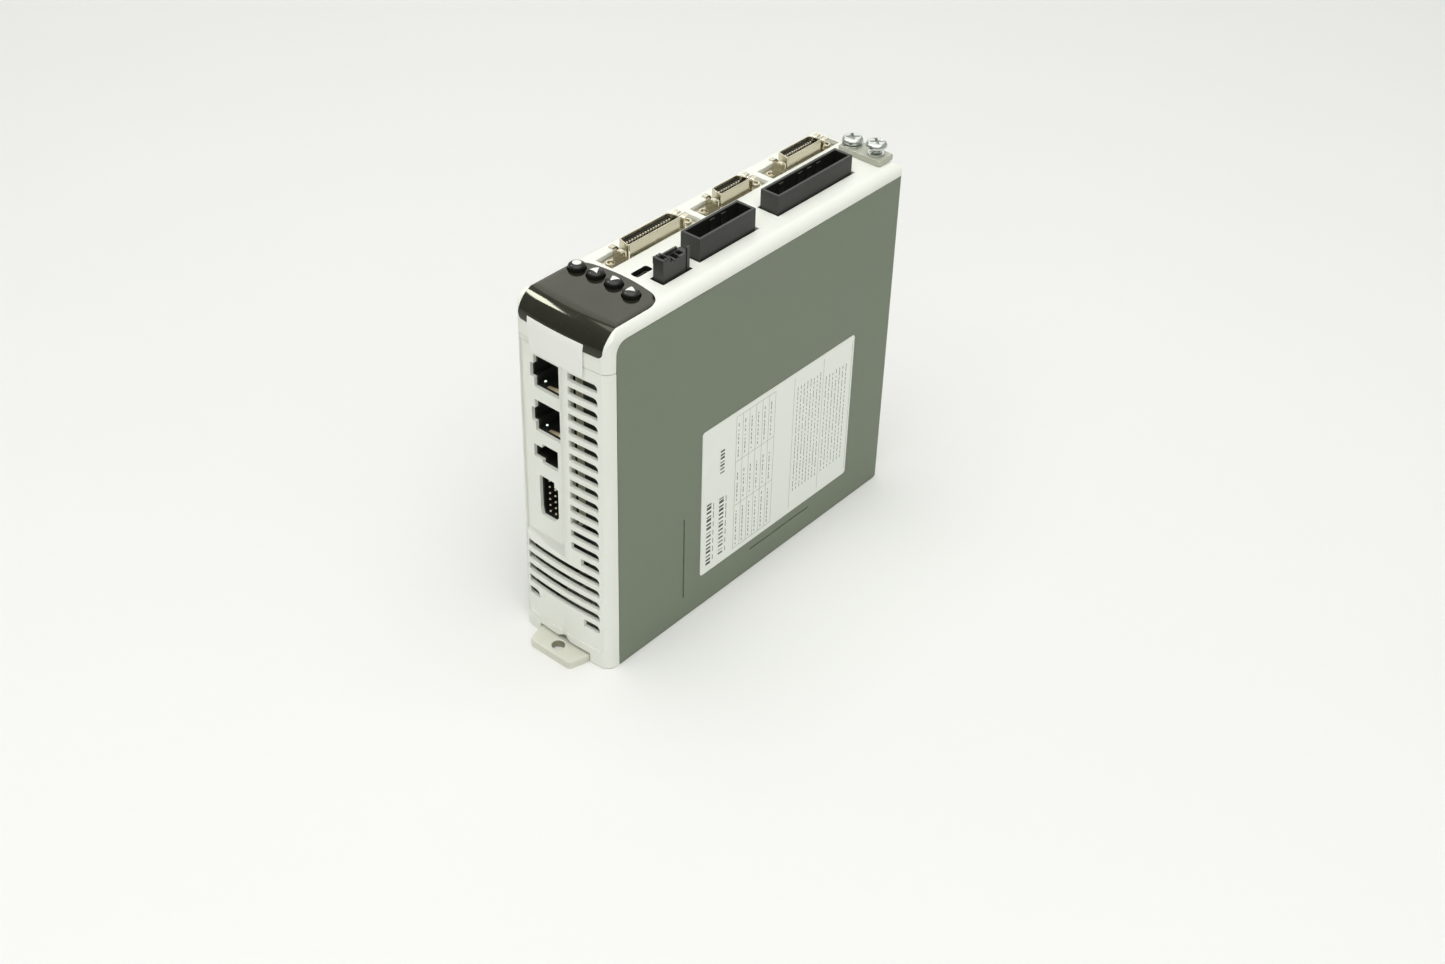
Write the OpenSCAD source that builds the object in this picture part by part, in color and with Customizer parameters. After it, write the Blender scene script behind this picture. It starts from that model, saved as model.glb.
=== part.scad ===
// Slim servo drive lying on its mounting face, with its front face up.
// +X is the labelled side, -Y the connector end and +Z the front face.
// The origin lies on the mounting face, under the middle of the drive.

/* [Body] */
// Width over the two side panels
body_w = 41; // [41:0.5:50]
// Length between the outer faces of the two end covers
body_l = 153.4; // [153.4:0.2:170]
// Height of the front face above the mounting face
body_h = 136; // [136:0.5:150]
// Radius of the bow of the connector end, seen from the front
bow_r = 160; // [120:5:300]
// Lean of the connector end, from the mounting face up to the nose
end_lean = 1; // [0:0.1:1.4]
// Radius of the nose between the connector end and the front face
nose_r = 9; // [7:0.5:10]
// Radius of the two upright corners of the connector end
corner_r = 4.5; // [3.5:0.5:6]
// Radius of the two long edges of the front face
edge_r = 4; // [3:0.5:4.5]
// Wall thickness of the white mouldings
wall = 1.8; // [1.4:0.1:2]
// Height of the seam between front cover and end cover
seam_z = 121.2; // [120.6:0.1:123]
// Width of the seams between mouldings
seam = 0.25; // [0.1:0.05:0.4]

/* [Side panels] */
// Height of the grey side panels
panel_h = 131.6; // [131:0.1:132]
// Distance of the panels from the connector end
panel_lead = 6.4; // [6:0.1:7]
// Thickness of the side panels
panel_t = 1.6; // [1.2:0.1:1.7]
// Length of the rating label
label_l = 83.4; // [60:0.2:90]
// Height of the rating label
label_h = 62.2; // [40:0.2:70]
// Depth of the label pocket, and thickness of the label
label_t = 0.2; // [0.1:0.05:0.4]

/* [Mounting tabs] */
// Thickness of the back plate and its tabs
plate_t = 3; // [2.5:0.1:4]
// Reach of each tab beyond the end cover
tab_reach = 7.3; // [6.5:0.1:9]
// Width of a tab at its root
tab_root = 23; // [20:0.5:26]
// Width of a tab at its tip
tab_tip = 18.6; // [16:0.2:20]
// Diameter of the screw hole in a tab
tab_hole_d = 4.5; // [4.3:0.1:5]
// Distance of the screw hole from the end cover
tab_hole_out = 2.9; // [2.7:0.1:3.4]

/* [Vents] */
// Distance from one slot to the next
slot_pitch = 5.2; // [5:0.1:5.3]
// Height of one slot
slot_h = 3.1; // [2.6:0.1:3.4]
// Height of the topmost slot
slot_z = 114.9; // [114.4:0.1:115.1]

/* [Display window] */
// Half the width of the window
window_x = 18.2; // [18:0.1:18.4]
// Radius of the arched rear edge of the window
window_arch_r = 62; // [50:1:90]
// Distance of the arch's crown from the connector end
window_l = 31.9; // [31.5:0.1:32]
// Height of the lower edge of the window
window_z = 127; // [126.5:0.1:128]
// Diameter of the push buttons
button_d = 5.8; // [5.4:0.1:6]
// Distance from one push button to the next
button_pitch = 7.9; // [7.4:0.1:8]
// Travel of a push button
button_travel = 0.4; // [0.2:0.1:0.5]

/* [Ribbon connectors] */
// Distance from one contact to the next
ribbon_pitch = 1.27; // [1.27:0.01:1.3]
// Width of the slotted recess in the front face
ribbon_w = 7.3; // [7.2:0.1:8]
// Height of the connector shells above the front face
ribbon_rise = 4.2; // [3:0.1:6]

/* [Power headers] */
// Width of the motor header
header_w = 8.3; // [8:0.1:8.6]
// Height of the motor header above the front face
header_rise = 8; // [7:0.1:10]
// Wall thickness of the header shrouds
header_wall = 1.1; // [0.8:0.1:1.4]

/* [Earth terminal] */
// Height of the earth bar above the front face
bar_rise = 2.4; // [1:0.1:3]
// Diameter of the screw thread
screw_d = 4; // [3.6:0.1:4]
// Diameter of the screw head
screw_head_d = 7.6; // [7.4:0.1:8.2]
// Height by which the second screw stands loosened
screw_loose = 1.75; // [0.7:0.35:2.1]

/* [Hidden] */
$fn = 48;

white = [0.91, 0.92, 0.88];
grey = [0.46, 0.50, 0.44];
cast = [0.80, 0.80, 0.75];
black = [0.16, 0.16, 0.15];
nickel = [0.72, 0.70, 0.62];
gold = [0.85, 0.70, 0.40];
zinc = [0.78, 0.80, 0.79];
board_green = [0.10, 0.36, 0.24];

half_w = body_w / 2;
y_near = -body_l / 2;
y_far = body_l / 2;
bow_y = y_near + bow_r;
far_r = 2;
far_edge_r = 3;
cover_z = 0.2;
panel_y = y_near + panel_lead;
panel_x = half_w - panel_t;
label_y = 12.9;
label_z = 44.7;

// Centre of the upright corner, set to run into the bowed end.
corner_x = half_w - corner_r;
corner_y = bow_y - sqrt(pow(bow_r - corner_r, 2) - pow(corner_x, 2)) - 0.06;
corner_a = atan2(corner_y - bow_y, corner_x);

// Jack recess in the connector end.
recess_x0 = -18;
recess_x1 = 0.6;
recess_y = y_near + 2.9;
recess_top = 119.2;
recess_low = 48.5;
recess_floor_t = 1.5;
jack_y = recess_y + recess_floor_t + 0.1;
jack_z = [108.7, 91.4];
chain_z = 76.8;
pins_z = 59.1;

// Boards stand upright, side by side.
control_x = -1.5;
power_x = 13.2;
board_t = 1.6;

// Middle line of the ribbon connectors and their stretches along the front.
ribbon_x = -9.75;
flange_top = body_h - 1.4;
large_y = -22.4;
small_y = 18.05;
feedback_y = 55.25;
function ribbon_l(ways) = (ways / 2 - 1) * ribbon_pitch + 21.4;

// Power headers and safety plug on the front.
motor_x = [3.2, 3.2 + header_w];
motor_y = [-21.8, 6.1];
motor_top = body_h + header_rise;
mains_x = [3.2, 2.8 + header_w];
mains_y = [18.4, 58.4];
mains_top = body_h + header_rise - 1;
safety_x = [7.4, 12.0];
safety_y = [-39.8, -27.1];
socket_x = [0.4, 3.6];
socket_y = [-42.6, -35.2];

// Earth bar and its two screws.
bar_x = [-2.4, 15.9];
bar_y = [68.1, 76.1];
bar_z = body_h + bar_rise;
screw_x = [0.9, 11.2];
screw_y = 72;
washer_r = [3.7, 2.95];
flat_washer_t = 0.6;
lock_washer_t = 0.6;
head_h = 1.8;
seat_gap = 0.05;

// Push buttons follow the arch of the window, a little wider apart towards the labelled side.
button_mid = [-3.15, y_near + 26.3];
button_x = [for (k = [-1.5 : 1.5]) button_mid[0] + k * button_pitch + 0.25 * k * k];
function button_y(x) = button_mid[1] - pow(x - button_mid[0], 2) / (2 * window_arch_r);
keypad_z = 126.4;

// Points of an arc about c, from angle a0 to a1.
function arc(c, r, a0, a1, n = 8) = [
    for (i = [0 : n]) c + r * [cos(a0 + (a1 - a0) * i / n), sin(a0 + (a1 - a0) * i / n)]
];

// Round of radius r at the corner q between p and s.
function fillet(p, q, s, r, n) =
    let (u = (p - q) / norm(p - q), v = (s - q) / norm(s - q), half = acos(u * v) / 2)
    let (c = q + (u + v) / norm(u + v) * r / sin(half), d = r / tan(half))
    let (m = q + u * d - c, e = q + v * d - c, a0 = atan2(m[1], m[0]), a1 = atan2(e[1], e[0]))
    arc(c, r, a0, a0 + (a1 - a0 + 540) % 360 - 180, n);

// Outline with its corners rounded; r is one radius or a list of one for each corner, 0 for sharp.
function rounded(pts, r, n = 6) = let (k = len(pts)) [
    for (i = [0 : k - 1]) let (ri = is_list(r) ? r[i] : r)
        each (ri == 0 ? [pts[i]] : fillet(pts[(i + k - 1) % k], pts[i], pts[(i + 1) % k], ri, n))
];
function rect(x0, x1, y0, y1) = [[x0, y0], [x1, y0], [x1, y1], [x0, y1]];
function mirrored(pts) = [for (i = [len(pts) - 1 : -1 : 0]) [-pts[i][0], pts[i][1]]];

module box(x, y, z) {
    translate([x[0], y[0], z[0]]) cube([x[1] - x[0], y[1] - y[0], z[1] - z[0]]);
}

// Outline in (y, z), drawn along X.
module along_x(x0, x1) {
    translate([x0, 0, 0]) rotate([90, 0, 90]) linear_extrude(x1 - x0) children();
}

// Outline in (x, z), drawn along Y.
module along_y(y0, y1) {
    translate([0, y1, 0]) rotate([90, 0, 0]) linear_extrude(y1 - y0) children();
}

// Upright cylinder.
module post(x, y, r, z0, z1) {
    translate([x, y, z0]) cylinder(r = r, h = z1 - z0);
}

// Outer form of the mouldings, set in by i: a bowed and leaning nose crossed with its upright corners,
// those of the far end, the cross section and the lengthwise section.
function lean_at(z) = end_lean * z / (body_h - nose_r);
function nose_profile(i) = concat(
    [[0, -2], [bow_r - lean_at(-2) - i, -2]],
    arc([bow_r - end_lean - nose_r, body_h - nose_r], nose_r - i, 0, 90, 10),
    [[0, body_h - i]]
);
function near_corner(i) = arc([corner_x, corner_y], corner_r - i, corner_a, 0);
function near_right(i) = concat(
    [[near_corner(i)[0][0], y_near - 10]],
    near_corner(i),
    [[half_w - i, y_far + 10]]
);
function far_right(i) = concat(
    [[half_w - i, y_near - 12]],
    arc([half_w - far_r, y_far - far_r], max(far_r - i, 0.2), 0, 90, 4)
);
function cross_right(i) = concat(
    [[half_w - i, -2]],
    arc([half_w - edge_r, body_h - edge_r], edge_r - i, 0, 90)
);
function length_outline(i) = concat(
    [[y_near - 12, -2], [y_far - i, -2]],
    arc([y_far - far_edge_r, body_h - far_edge_r], far_edge_r - i, 0, 90, 6),
    [[y_near - 12, body_h - i]]
);
module near_corners(i) {
    translate([0, y_near, 0]) rotate([-atan(lean_at(1)), 0, 0]) translate([0, -y_near, -4])
        linear_extrude(body_h + 12) polygon(concat(near_right(i), mirrored(near_right(i))));
}
module far_corners(i) {
    translate([0, 0, -1]) linear_extrude(body_h + 4) polygon(concat(far_right(i), mirrored(far_right(i))));
}
module form(i = 0) {
    intersection() {
        translate([0, bow_y, 0]) rotate_extrude($fn = 240) polygon(nose_profile(i));
        near_corners(i);
        far_corners(i);
        along_y(y_near - 11, y_far + 5) polygon(concat(cross_right(i), mirrored(cross_right(i))));
        along_x(-half_w - 2, half_w + 2) polygon(length_outline(i));
    }
}

// Outline of the side panels in (y, z), grown by g.
function panel_outline(g = 0) = rounded(
    rect(panel_y - g, y_far + g, -g, panel_h + g),
    [0, 3, 1, 4.2 + g]
);

// Zone of the front cover: above the side panels, and down to the seam at the nose.
module front_zone() {
    difference() {
        box([-half_w - 1, half_w + 1], [y_near - 5, y_far + 2], [seam_z + seam / 2, body_h + 2]);
        along_x(-half_w - 2, half_w + 2) polygon(rounded(
            rect(panel_y - seam, y_far + 5, 0, panel_h + seam), [0, 0, 0, 4.2 + seam]));
    }
}

// Zone of the smoked window: its plan crossed with its front view.
function arch_corner() =
    let (r = 7, cx = window_x - r, ay = y_near + window_l - window_arch_r)
    [cx, ay + sqrt(pow(window_arch_r - r, 2) - pow(cx, 2)), r, ay];
function window_plan() =
    let (k = arch_corner(), a = atan2(k[1] - k[3], k[0]))
    let (right = concat([[window_x, y_near - 5]], arc([k[0], k[1]], k[2], 0, a, 6)))
    concat(right, arc([0, k[3]], window_arch_r, a, 180 - a, 14), mirrored(right));
module window_zone() {
    intersection() {
        translate([0, 0, seam_z]) linear_extrude(body_h - seam_z + 2) polygon(window_plan());
        along_y(y_near - 5, y_near + window_l + 5)
            polygon(rounded(rect(-window_x, window_x, window_z, body_h + 5), [1.9, 1.9, 0, 0]));
    }
}

// One louvre slot of the connector end.
module slot(x0, x1, z) {
    along_y(y_near - 3, y_near + 6)
        polygon(rounded(rect(x0, x1, z - slot_h / 2, z + slot_h / 2), slot_h * [0.13, 0.16, 0.52, 0.13], 5));
}
module louvre_slots() {
    for (k = [0 : 13]) slot(3.9, 16, slot_z - k * slot_pitch);
    slot(8.2, 16, slot_z - 14 * slot_pitch);
    for (k = [15 : 18]) slot(-17.2, 16, slot_z - k * slot_pitch);
    slot(-17.2, -12.2, slot_z - 19 * slot_pitch);
    slot(9, 16, slot_z - 19 * slot_pitch);
}

// Stepped mouth of a network jack, grown by g, centred on height z.
module network_mouth(z, g, y0, y1) {
    along_y(y0, y1) polygon(rect(-12.5 - g, -2 + g, z - 5.9 - g, z + 5.9 + g));
    along_y(y0, y1) polygon(rect(-14.1 - g, -12, z - 2.4 - g, z + 2.4 + g));
}
// Keyhole mouth of the small jack.
module chain_mouth(g, y0, y1) {
    along_y(y0, y1) polygon(rect(-10 - g, -3.5 + g, chain_z - 3.7 - g, chain_z + 3.7 + g));
    along_y(y0, y1) polygon(rect(-13.8 - g, -9.5, chain_z - 2.2 - g, chain_z + 2.2 + g));
}
// Keyed mouth of the pin header, with its chamfers.
function pin_mouth(g) = [
    [-11.7 - g, pins_z + 8 + g], [-11.7 - g, pins_z - 5.3], [-11 - g, pins_z - 8 - g], [-5.9, pins_z - 8 - g],
    [-3.9 + g, pins_z - 6], [-3.9 + g, pins_z + 5.8], [-5.6 + g, pins_z + 6.2], [-5.6 + g, pins_z + 8 + g]
];

// Plan of a mounting tab, from under the drive to its tip; s is the end it points to.
module tab(s) {
    y0 = y_near + 6;
    linear_extrude(plate_t) polygon([
        for (p = rounded([
            [tab_root / 2, y0], [tab_root / 2, y_near], [tab_tip / 2, y_near - tab_reach],
            [-tab_tip / 2, y_near - tab_reach], [-tab_root / 2, y_near], [-tab_root / 2, y0]
        ], [0, 0, 1.6, 1.6, 0, 0])) [p[0], -s * p[1]]
    ]);
}

// Back plate with its tabs, cooling ribs, module wall and earth post, cast in one piece.
module chassis() {
    hole_y = y_far + tab_hole_out;
    color(cast) difference() {
        union() {
            box([-18.4, 18.4], [y_near + 4.6, y_far - 2.2], [0, plate_t]);
            for (s = [-1, 1]) tab(s);
            for (x = [-14 : 6 : 10]) along_y(-60, 60)
                polygon([[x - 1.1, plate_t - 0.5], [x + 1.1, plate_t - 0.5], [x + 0.7, 12], [x - 0.7, 12]]);
            box([17.2, 18.4], [-60, 60], [plate_t - 0.5, 70]);
            along_y(69, 74) polygon([[0, plate_t - 0.5], [12.4, plate_t - 0.5], [11.6, 129.5], [1.2, 129.5]]);
        }
        for (s = [-1, 1]) post(0, s * hole_y, tab_hole_d / 2, -1, plate_t + 1);
    }
}

// Front cover: nose and front face in one shell, with its cut-outs.
module front_cover() {
    color(white) difference() {
        intersection() {
            form();
            front_zone();
        }
        form(wall);
        window_zone();
        inset_panel();
        for (c = [[36, large_y], [20, small_y], [26, feedback_y]]) ribbon_recess(c[0], c[1]);
        for (h = [[motor_x, motor_y], [mains_x, mains_y]]) box([h[0][0] - 0.7, h[0][1] + 0.4],
            [h[1][0] - 0.4, h[1][1] + 1.4], [body_h - 6, body_h + 1]);
        box([safety_x[0] - 0.5, safety_x[1] + 0.6], [safety_y[0] - 0.6, safety_y[1] + 0.6],
            [body_h - 6, body_h + 1]);
        translate([0, 0, body_h - 6]) linear_extrude(8)
            polygon(rounded(rect(socket_x[0], socket_x[1], socket_y[0], socket_y[1]), 0.8, 3));
        box([bar_x[0] + 0.8, bar_x[1] - 0.8], [bar_y[0] + 0.8, 74.6], [body_h - 6, body_h + 1]);
    }
}
module ribbon_recess(ways, y) {
    l = ribbon_l(ways);
    box([ribbon_x - ribbon_w / 2, ribbon_x + ribbon_w / 2], [y - l / 2, y + l / 2], [body_h - 6, body_h + 1]);
}

// End cover with jack recess, louvre slots, tab opening, and an arch and a groove over the tab's screw.
module near_end_cover() {
    color(white) difference() {
        union() {
            end_shell();
            guide_rib();
        }
        inset_panel();
        along_x(recess_x0, recess_x1) polygon([
            [y_near - 5, recess_top + 2], [recess_y, recess_top], [recess_y, recess_low],
            [recess_y - 2.7, recess_low - 5.2], [y_near - 5, recess_low - 14]
        ]);
        for (z = jack_z) network_mouth(z, 0.3, recess_y - 1, recess_y + 3);
        chain_mouth(0.3, recess_y - 1, recess_y + 3);
        along_y(recess_y - 1, recess_y + 3) polygon(pin_mouth(0.3));
        louvre_slots();
        box([-tab_root / 2 - 0.4, tab_root / 2 + 0.4], [y_near - 5, panel_y + 2], [-1, plate_t + 0.8]);
        along_y(y_near - 5, y_near + 4) translate([0, plate_t - 2]) circle(r = 4);
        post(0, y_near - 1.9, 2.5, 0, 13);
    }
}
// Shell of the end cover, with the walls and the floor of the jack recess left standing.
module end_shell() {
    difference() {
        intersection() {
            form();
            box([-half_w - 1, half_w + 1], [y_near - 5, panel_y - seam], [cover_z, seam_z - seam / 2]);
        }
        difference() {
            form(wall);
            box([recess_x0 - 0.5, recess_x1 + 1.3], [y_near, recess_y + recess_floor_t],
                [recess_low - 5, seam_z]);
        }
    }
}
// Slotted rib behind the recess wall, seen through the louvre slots.
module guide_rib() {
    y = recess_y + recess_floor_t;
    difference() {
        box([recess_x1 + 0.6, recess_x1 + 1.3], [y - 0.2, y + 5.9], [50, 118]);
        box([recess_x1, recess_x1 + 2], [y + 1.5, y + 2.5], [52, 116]);
    }
}
// Shallow sunk panel that frames the slots and runs up to the window.
module inset_panel() {
    intersection() {
        translate([0, bow_y, 0]) difference() {
            cylinder(r = bow_r + 2, h = 130, $fn = 240);
            translate([0, 0, -1])
                cylinder(r1 = bow_r - 0.3 - lean_at(-1), r2 = bow_r - 0.3 - lean_at(131), h = 132, $fn = 240);
        }
        along_y(y_near - 5, y_near + 5) polygon(rounded(rect(-17.9, 17.6, 7, window_z), [1.5, 1.5, 0, 0], 4));
    }
}

// End cover of the hidden end, held between the side panels, with inlet slots.
module far_end_cover() {
    color(white) difference() {
        box([-panel_x + seam, panel_x - seam], [y_far - wall, y_far - 0.05], [cover_z, panel_h - seam]);
        for (z = [12 : slot_pitch : 118]) along_y(y_far - 4, y_far + 2)
            polygon(rounded(rect(-14, 14, z - slot_h / 2, z + slot_h / 2), 0.9, 4));
        box([-tab_root / 2 - 0.4, tab_root / 2 + 0.4], [y_far - 5, y_far + 2], [-1, plate_t + 0.8]);
    }
}

// Side panel; s is the side it is on.
module side_panel(s) {
    intersection() {
        along_x(s > 0 ? panel_x : -half_w, s > 0 ? half_w : -panel_x)
            polygon(rounded(rect(panel_y, y_far, cover_z, panel_h), [0, 3, 1, 4.2]));
        far_corners(0);
    }
}
module label_outline(x0, x1, g) {
    along_x(x0, x1) polygon(rounded(rect(label_y - label_l / 2 - g, label_y + label_l / 2 + g,
        label_z - label_h / 2 - g, label_z + label_h / 2 + g), 1.2));
}
module right_side_panel() {
    color(grey) difference() {
        side_panel(1);
        label_outline(half_w - label_t, half_w + 1, 0.1);
        box([half_w - 0.5, half_w + 1], [-38, -37.3], [9.4, 44.4]);
        box([half_w - 0.5, half_w + 1], [-1, 33], [9.1, 9.8]);
    }
}
module left_side_panel() {
    color(grey) side_panel(-1);
}
module rating_label() {
    color("white") label_outline(half_w - label_t, half_w, 0);
}

// Smoked window, flush with the nose and the front face.
module display_window() {
    color([0.20, 0.19, 0.16]) difference() {
        intersection() {
            form();
            window_zone();
        }
        form(wall);
        for (x = button_x) post(x, button_y(x), button_d / 2 + 0.3, body_h - 5, body_h + 1);
    }
}

// Domed push button k with a retaining collar under the window.
module push_button(k) {
    x = button_x[k];
    r = button_d / 2;
    color(black) translate([x, button_y(x), body_h]) rotate_extrude() polygon(concat(
        [[0, -5], [r, -5], [r, -3], [r + 0.5, -3], [r + 0.5, -2.4], [r, -2.4], [r, 1.2]],
        arc([r - 0.8, 1.2], 0.8, 20, 70, 4),
        [[0, 2.3]]
    ));
}
module mode_button() { push_button(0); }
module up_button() { push_button(1); }
module down_button() { push_button(2); }
module enter_button() { push_button(3); }

// Key switches under the buttons, each with its round plunger.
module key_switches() {
    color(black) for (x = button_x) {
        y = button_y(x);
        box([x - 3, x + 3], [y - 3, y + 3], [keypad_z, keypad_z + 3.2]);
        post(x, y, 1.7, keypad_z + 3.2, body_h - 5 - button_travel - 0.3);
    }
}
module keypad_board() {
    color(board_green) box([-17.6, 17.6], [y_near + 9.2, y_near + 29.7], [keypad_z - board_t, keypad_z]);
}
// Numeric display: five figure windows in one block.
module display_module() {
    color(black) difference() {
        box([-14, 14], [y_near + 10.2, y_near + 20], [keypad_z, keypad_z + 5.6]);
        for (x = [-10.8 : 5.4 : 10.8]) box([x - 2, x + 2], [y_near + 11.6, y_near + 18.6],
            [keypad_z + 5, keypad_z + 6]);
    }
}

// Upright board at x over the stretch y, cut away under the keypad; z is its lower edge.
module upright_board(x, y, z) {
    color(board_green) along_x(x, x + board_t) polygon([
        [y[0], z], [y[1], z], [y[1], 131],
        [-45, 131], [-45, keypad_z - board_t], [y[0], keypad_z - board_t]
    ]);
}
module control_board() { upright_board(control_x, [y_near + 5.2, 68], 46); }
module power_board() { upright_board(power_x, [-62, 64], 14); }

// Network jack k: housing on the control board, open to the recess.
module network_jack(k) {
    z = jack_z[k];
    color(black) difference() {
        box([-15.6, control_x], [jack_y, jack_y + 15], [z - 7.8, z + 7.8]);
        network_mouth(z, 0, jack_y - 1, jack_y + 12);
    }
}
module network_jack_in() { network_jack(0); }
module network_jack_out() { network_jack(1); }

// Eight sloping spring contacts in each network jack.
module network_contacts() {
    color(gold) for (z = jack_z, k = [-3.5 : 3.5])
        translate([0, 0, z + k * 1.02 - 0.2]) linear_extrude(0.4)
            polygon([[-2, jack_y + 2], [-2, jack_y + 2.5], [-4.6, jack_y + 10], [-5, jack_y + 10]]);
}

// Small modular jack.
module chain_jack() {
    color(black) difference() {
        box([-15.2, control_x], [jack_y, jack_y + 13], [chain_z - 5.6, chain_z + 5.6]);
        chain_mouth(0, jack_y - 1, jack_y + 10);
    }
}

// Shrouded pin header, two rows of six.
module pin_header() {
    color(black) difference() {
        along_y(jack_y, jack_y + 9)
            polygon(rounded(rect(-13.2, control_x, pins_z - 9.4, pins_z + 9.4), 0.6, 3));
        along_y(jack_y - 1, jack_y + 6.5) polygon(pin_mouth(0));
    }
}
module pin_header_pins() {
    color(gold) for (x = [-9, -6.46], k = [-2.5 : 2.5])
        box([x - 0.32, x + 0.32], [recess_y + 1.35, jack_y + 6.5],
            [pins_z + k * 2.54 - 0.32, pins_z + k * 2.54 + 0.32]);
}

// Outline of a ribbon connector shell, longer on the +X side, set in by i.
function ribbon_outline(ways, i) =
    let (a = (ways / 2 - 1) * ribbon_pitch / 2 + 2.15 - i, w = 2.65 - i, d = 1.25)
    rounded([[-w, -a + d], [w, -a], [w, a], [-w, a - d]], 0.9 - i / 2, 4);
module ribbon_prism(ways, y, i, z0, z1) {
    translate([ribbon_x, y, z0]) linear_extrude(z1 - z0) polygon(ribbon_outline(ways, i));
}

// Shell of a ribbon connector: flange with eyelets, drawn D-shaped rim, and a latch bracket at each end.
module ribbon_shell(ways, y) {
    l = ribbon_l(ways) - 0.5;
    rim = body_h + ribbon_rise;
    end = (ways / 2 - 1) * ribbon_pitch / 2 + 3.6;
    color(nickel) difference() {
        union() {
            box([ribbon_x - 3.4, ribbon_x + 3.4], [y - l / 2, y + l / 2], [flange_top - 0.8, flange_top]);
            ribbon_prism(ways, y, -0.5, flange_top - 0.2, flange_top + 0.7);
            ribbon_prism(ways, y, 0, flange_top - 0.4, rim);
            for (s = [-1, 1]) {
                post(ribbon_x, y + s * (l / 2 - 2.9), 1.8, flange_top - 0.4, flange_top + 0.8);
                latch_bracket(y + s * end, s);
            }
        }
        ribbon_prism(ways, y, 0.45, flange_top - 2, rim + 1);
        for (s = [-1, 1]) post(ribbon_x, y + s * (l / 2 - 2.9), 1.1, flange_top - 2, flange_top + 2);
    }
}
// Latch bracket: a strap standing on the flange, with two prongs bent outwards over its top.
module latch_bracket(y, s) {
    t = 0.7;
    h = 4.8;
    bend = 1.4;
    half = 2.8;
    prong = concat(
        [[-t, -0.3]], arc([bend - t, h - bend], bend, 180, 90, 5), [[2 * bend - t, h], [2 * bend - t, h - t]],
        arc([bend - t, h - bend], bend - t, 90, 180, 5), [[0, -0.3]]
    );
    for (x = [[-half, -0.9], [0.9, half]]) along_x(ribbon_x + x[0], ribbon_x + x[1])
        polygon([for (p = prong) [y + s * p[0], flange_top + p[1]]]);
    along_x(ribbon_x - half, ribbon_x + half)
        polygon([for (p = rect(-t, 0, -0.3, h - 2)) [y + s * p[0], flange_top + p[1]]]);
}

// Insulating insert with its centre slot.
module ribbon_insert(ways, y) {
    a = (ways / 2 - 1) * ribbon_pitch / 2 + 0.9;
    color(black) difference() {
        union() {
            ribbon_prism(ways, y, 0.5, flange_top - 0.9, body_h + ribbon_rise - 1.2);
            box([-13, control_x], [y - a - 1.5, y + a + 1.5], [flange_top - 10, flange_top - 0.85]);
        }
        box([ribbon_x - 1.35, ribbon_x + 1.35], [y - a, y + a], [flange_top - 1.5, body_h + 10]);
    }
}
// Two rows of contacts along the walls of the slot.
module ribbon_contacts(ways, y) {
    n = ways / 2;
    color(gold) for (s = [-1, 1], k = [0 : n - 1]) {
        x = ribbon_x + s * 1.2;
        yk = y + (k - (n - 1) / 2) * ribbon_pitch;
        box([x - 0.15, x + 0.15], [yk - 0.3, yk + 0.3], [flange_top - 1.5, body_h + ribbon_rise - 2.9]);
    }
}
module large_io_shell() { ribbon_shell(36, large_y); }
module large_io_insert() { ribbon_insert(36, large_y); }
module large_io_contacts() { ribbon_contacts(36, large_y); }
module small_io_shell() { ribbon_shell(20, small_y); }
module small_io_insert() { ribbon_insert(20, small_y); }
module small_io_contacts() { ribbon_contacts(20, small_y); }
module feedback_shell() { ribbon_shell(26, feedback_y); }
module feedback_insert() { ribbon_insert(26, feedback_y); }
module feedback_contacts() { ribbon_contacts(26, feedback_y); }

// Small data socket behind its slot, on the second face of the control board.
module data_socket() {
    x = [control_x + board_t, socket_x[1] + 0.1];
    color(nickel) difference() {
        box(x, [socket_y[0] - 0.3, socket_y[1] + 0.3], [body_h - 11, body_h - 2.2]);
        box([x[0] + 0.5, x[1] - 0.4], [socket_y[0] + 0.2, socket_y[1] - 0.2], [body_h - 8, body_h]);
    }
}

// Header that takes the safety plug.
module safety_header() {
    color(black) difference() {
        box([safety_x[0] - 1.3, power_x], [safety_y[0] - 1.3, safety_y[1] + 1.3],
            [body_h - 17, body_h - 2.4]);
        box([safety_x[0] - 0.3, safety_x[1] + 0.3], [safety_y[0] - 0.3, safety_y[1] + 0.3],
            [body_h - 10, body_h]);
    }
}
// Safety plug: raised block with ridges, four wire ways in a lower sill, and a latch lever at its far end.
module safety_plug() {
    x = safety_x;
    y = safety_y;
    top = motor_top;
    sill = top - 1.7;
    foot = body_h - 9.7;
    way = (y[1] - y[0] - 2.2) / 4;
    color(black) difference() {
        union() {
            box([x[0] + 0.2, x[1]], [y[0], y[1] - 1.9], [foot, sill]);
            box([x[0] + 0.2, x[1] - 0.5], [y[1] - 2, y[1]], [foot, sill]);
            box([x[0], x[1]], [y[0], y[0] + 3.4], [sill - 0.8, top]);
            box([x[0], x[0] + 0.9], [y[0], y[1] - 1.9], [sill - 0.8, top - 0.7]);
            box([x[1] - 0.8, x[1]], [y[1] - 1.4, y[1]], [foot, top + 0.2]);
        }
        for (k = [0 : 3]) box([x[0] + 1.3, x[1] - 1.1],
            [y[0] + 0.6 + way * (k + 0.1), y[0] + 0.6 + way * (k + 0.9)], [top - 5, top + 1]);
        for (k = [1 : 2]) along_x(x[1] - 1.5, x[1] + 1)
            translate([y[0] + 0.6 + way * (k + 0.5), sill]) circle(r = 0.9, $fn = 24);
        for (d = [1, 2.2]) box([x[0] - 1, x[1] + 1], [y[0] + d, y[0] + d + 0.35], [top - 0.5, top + 1]);
    }
}

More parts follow.
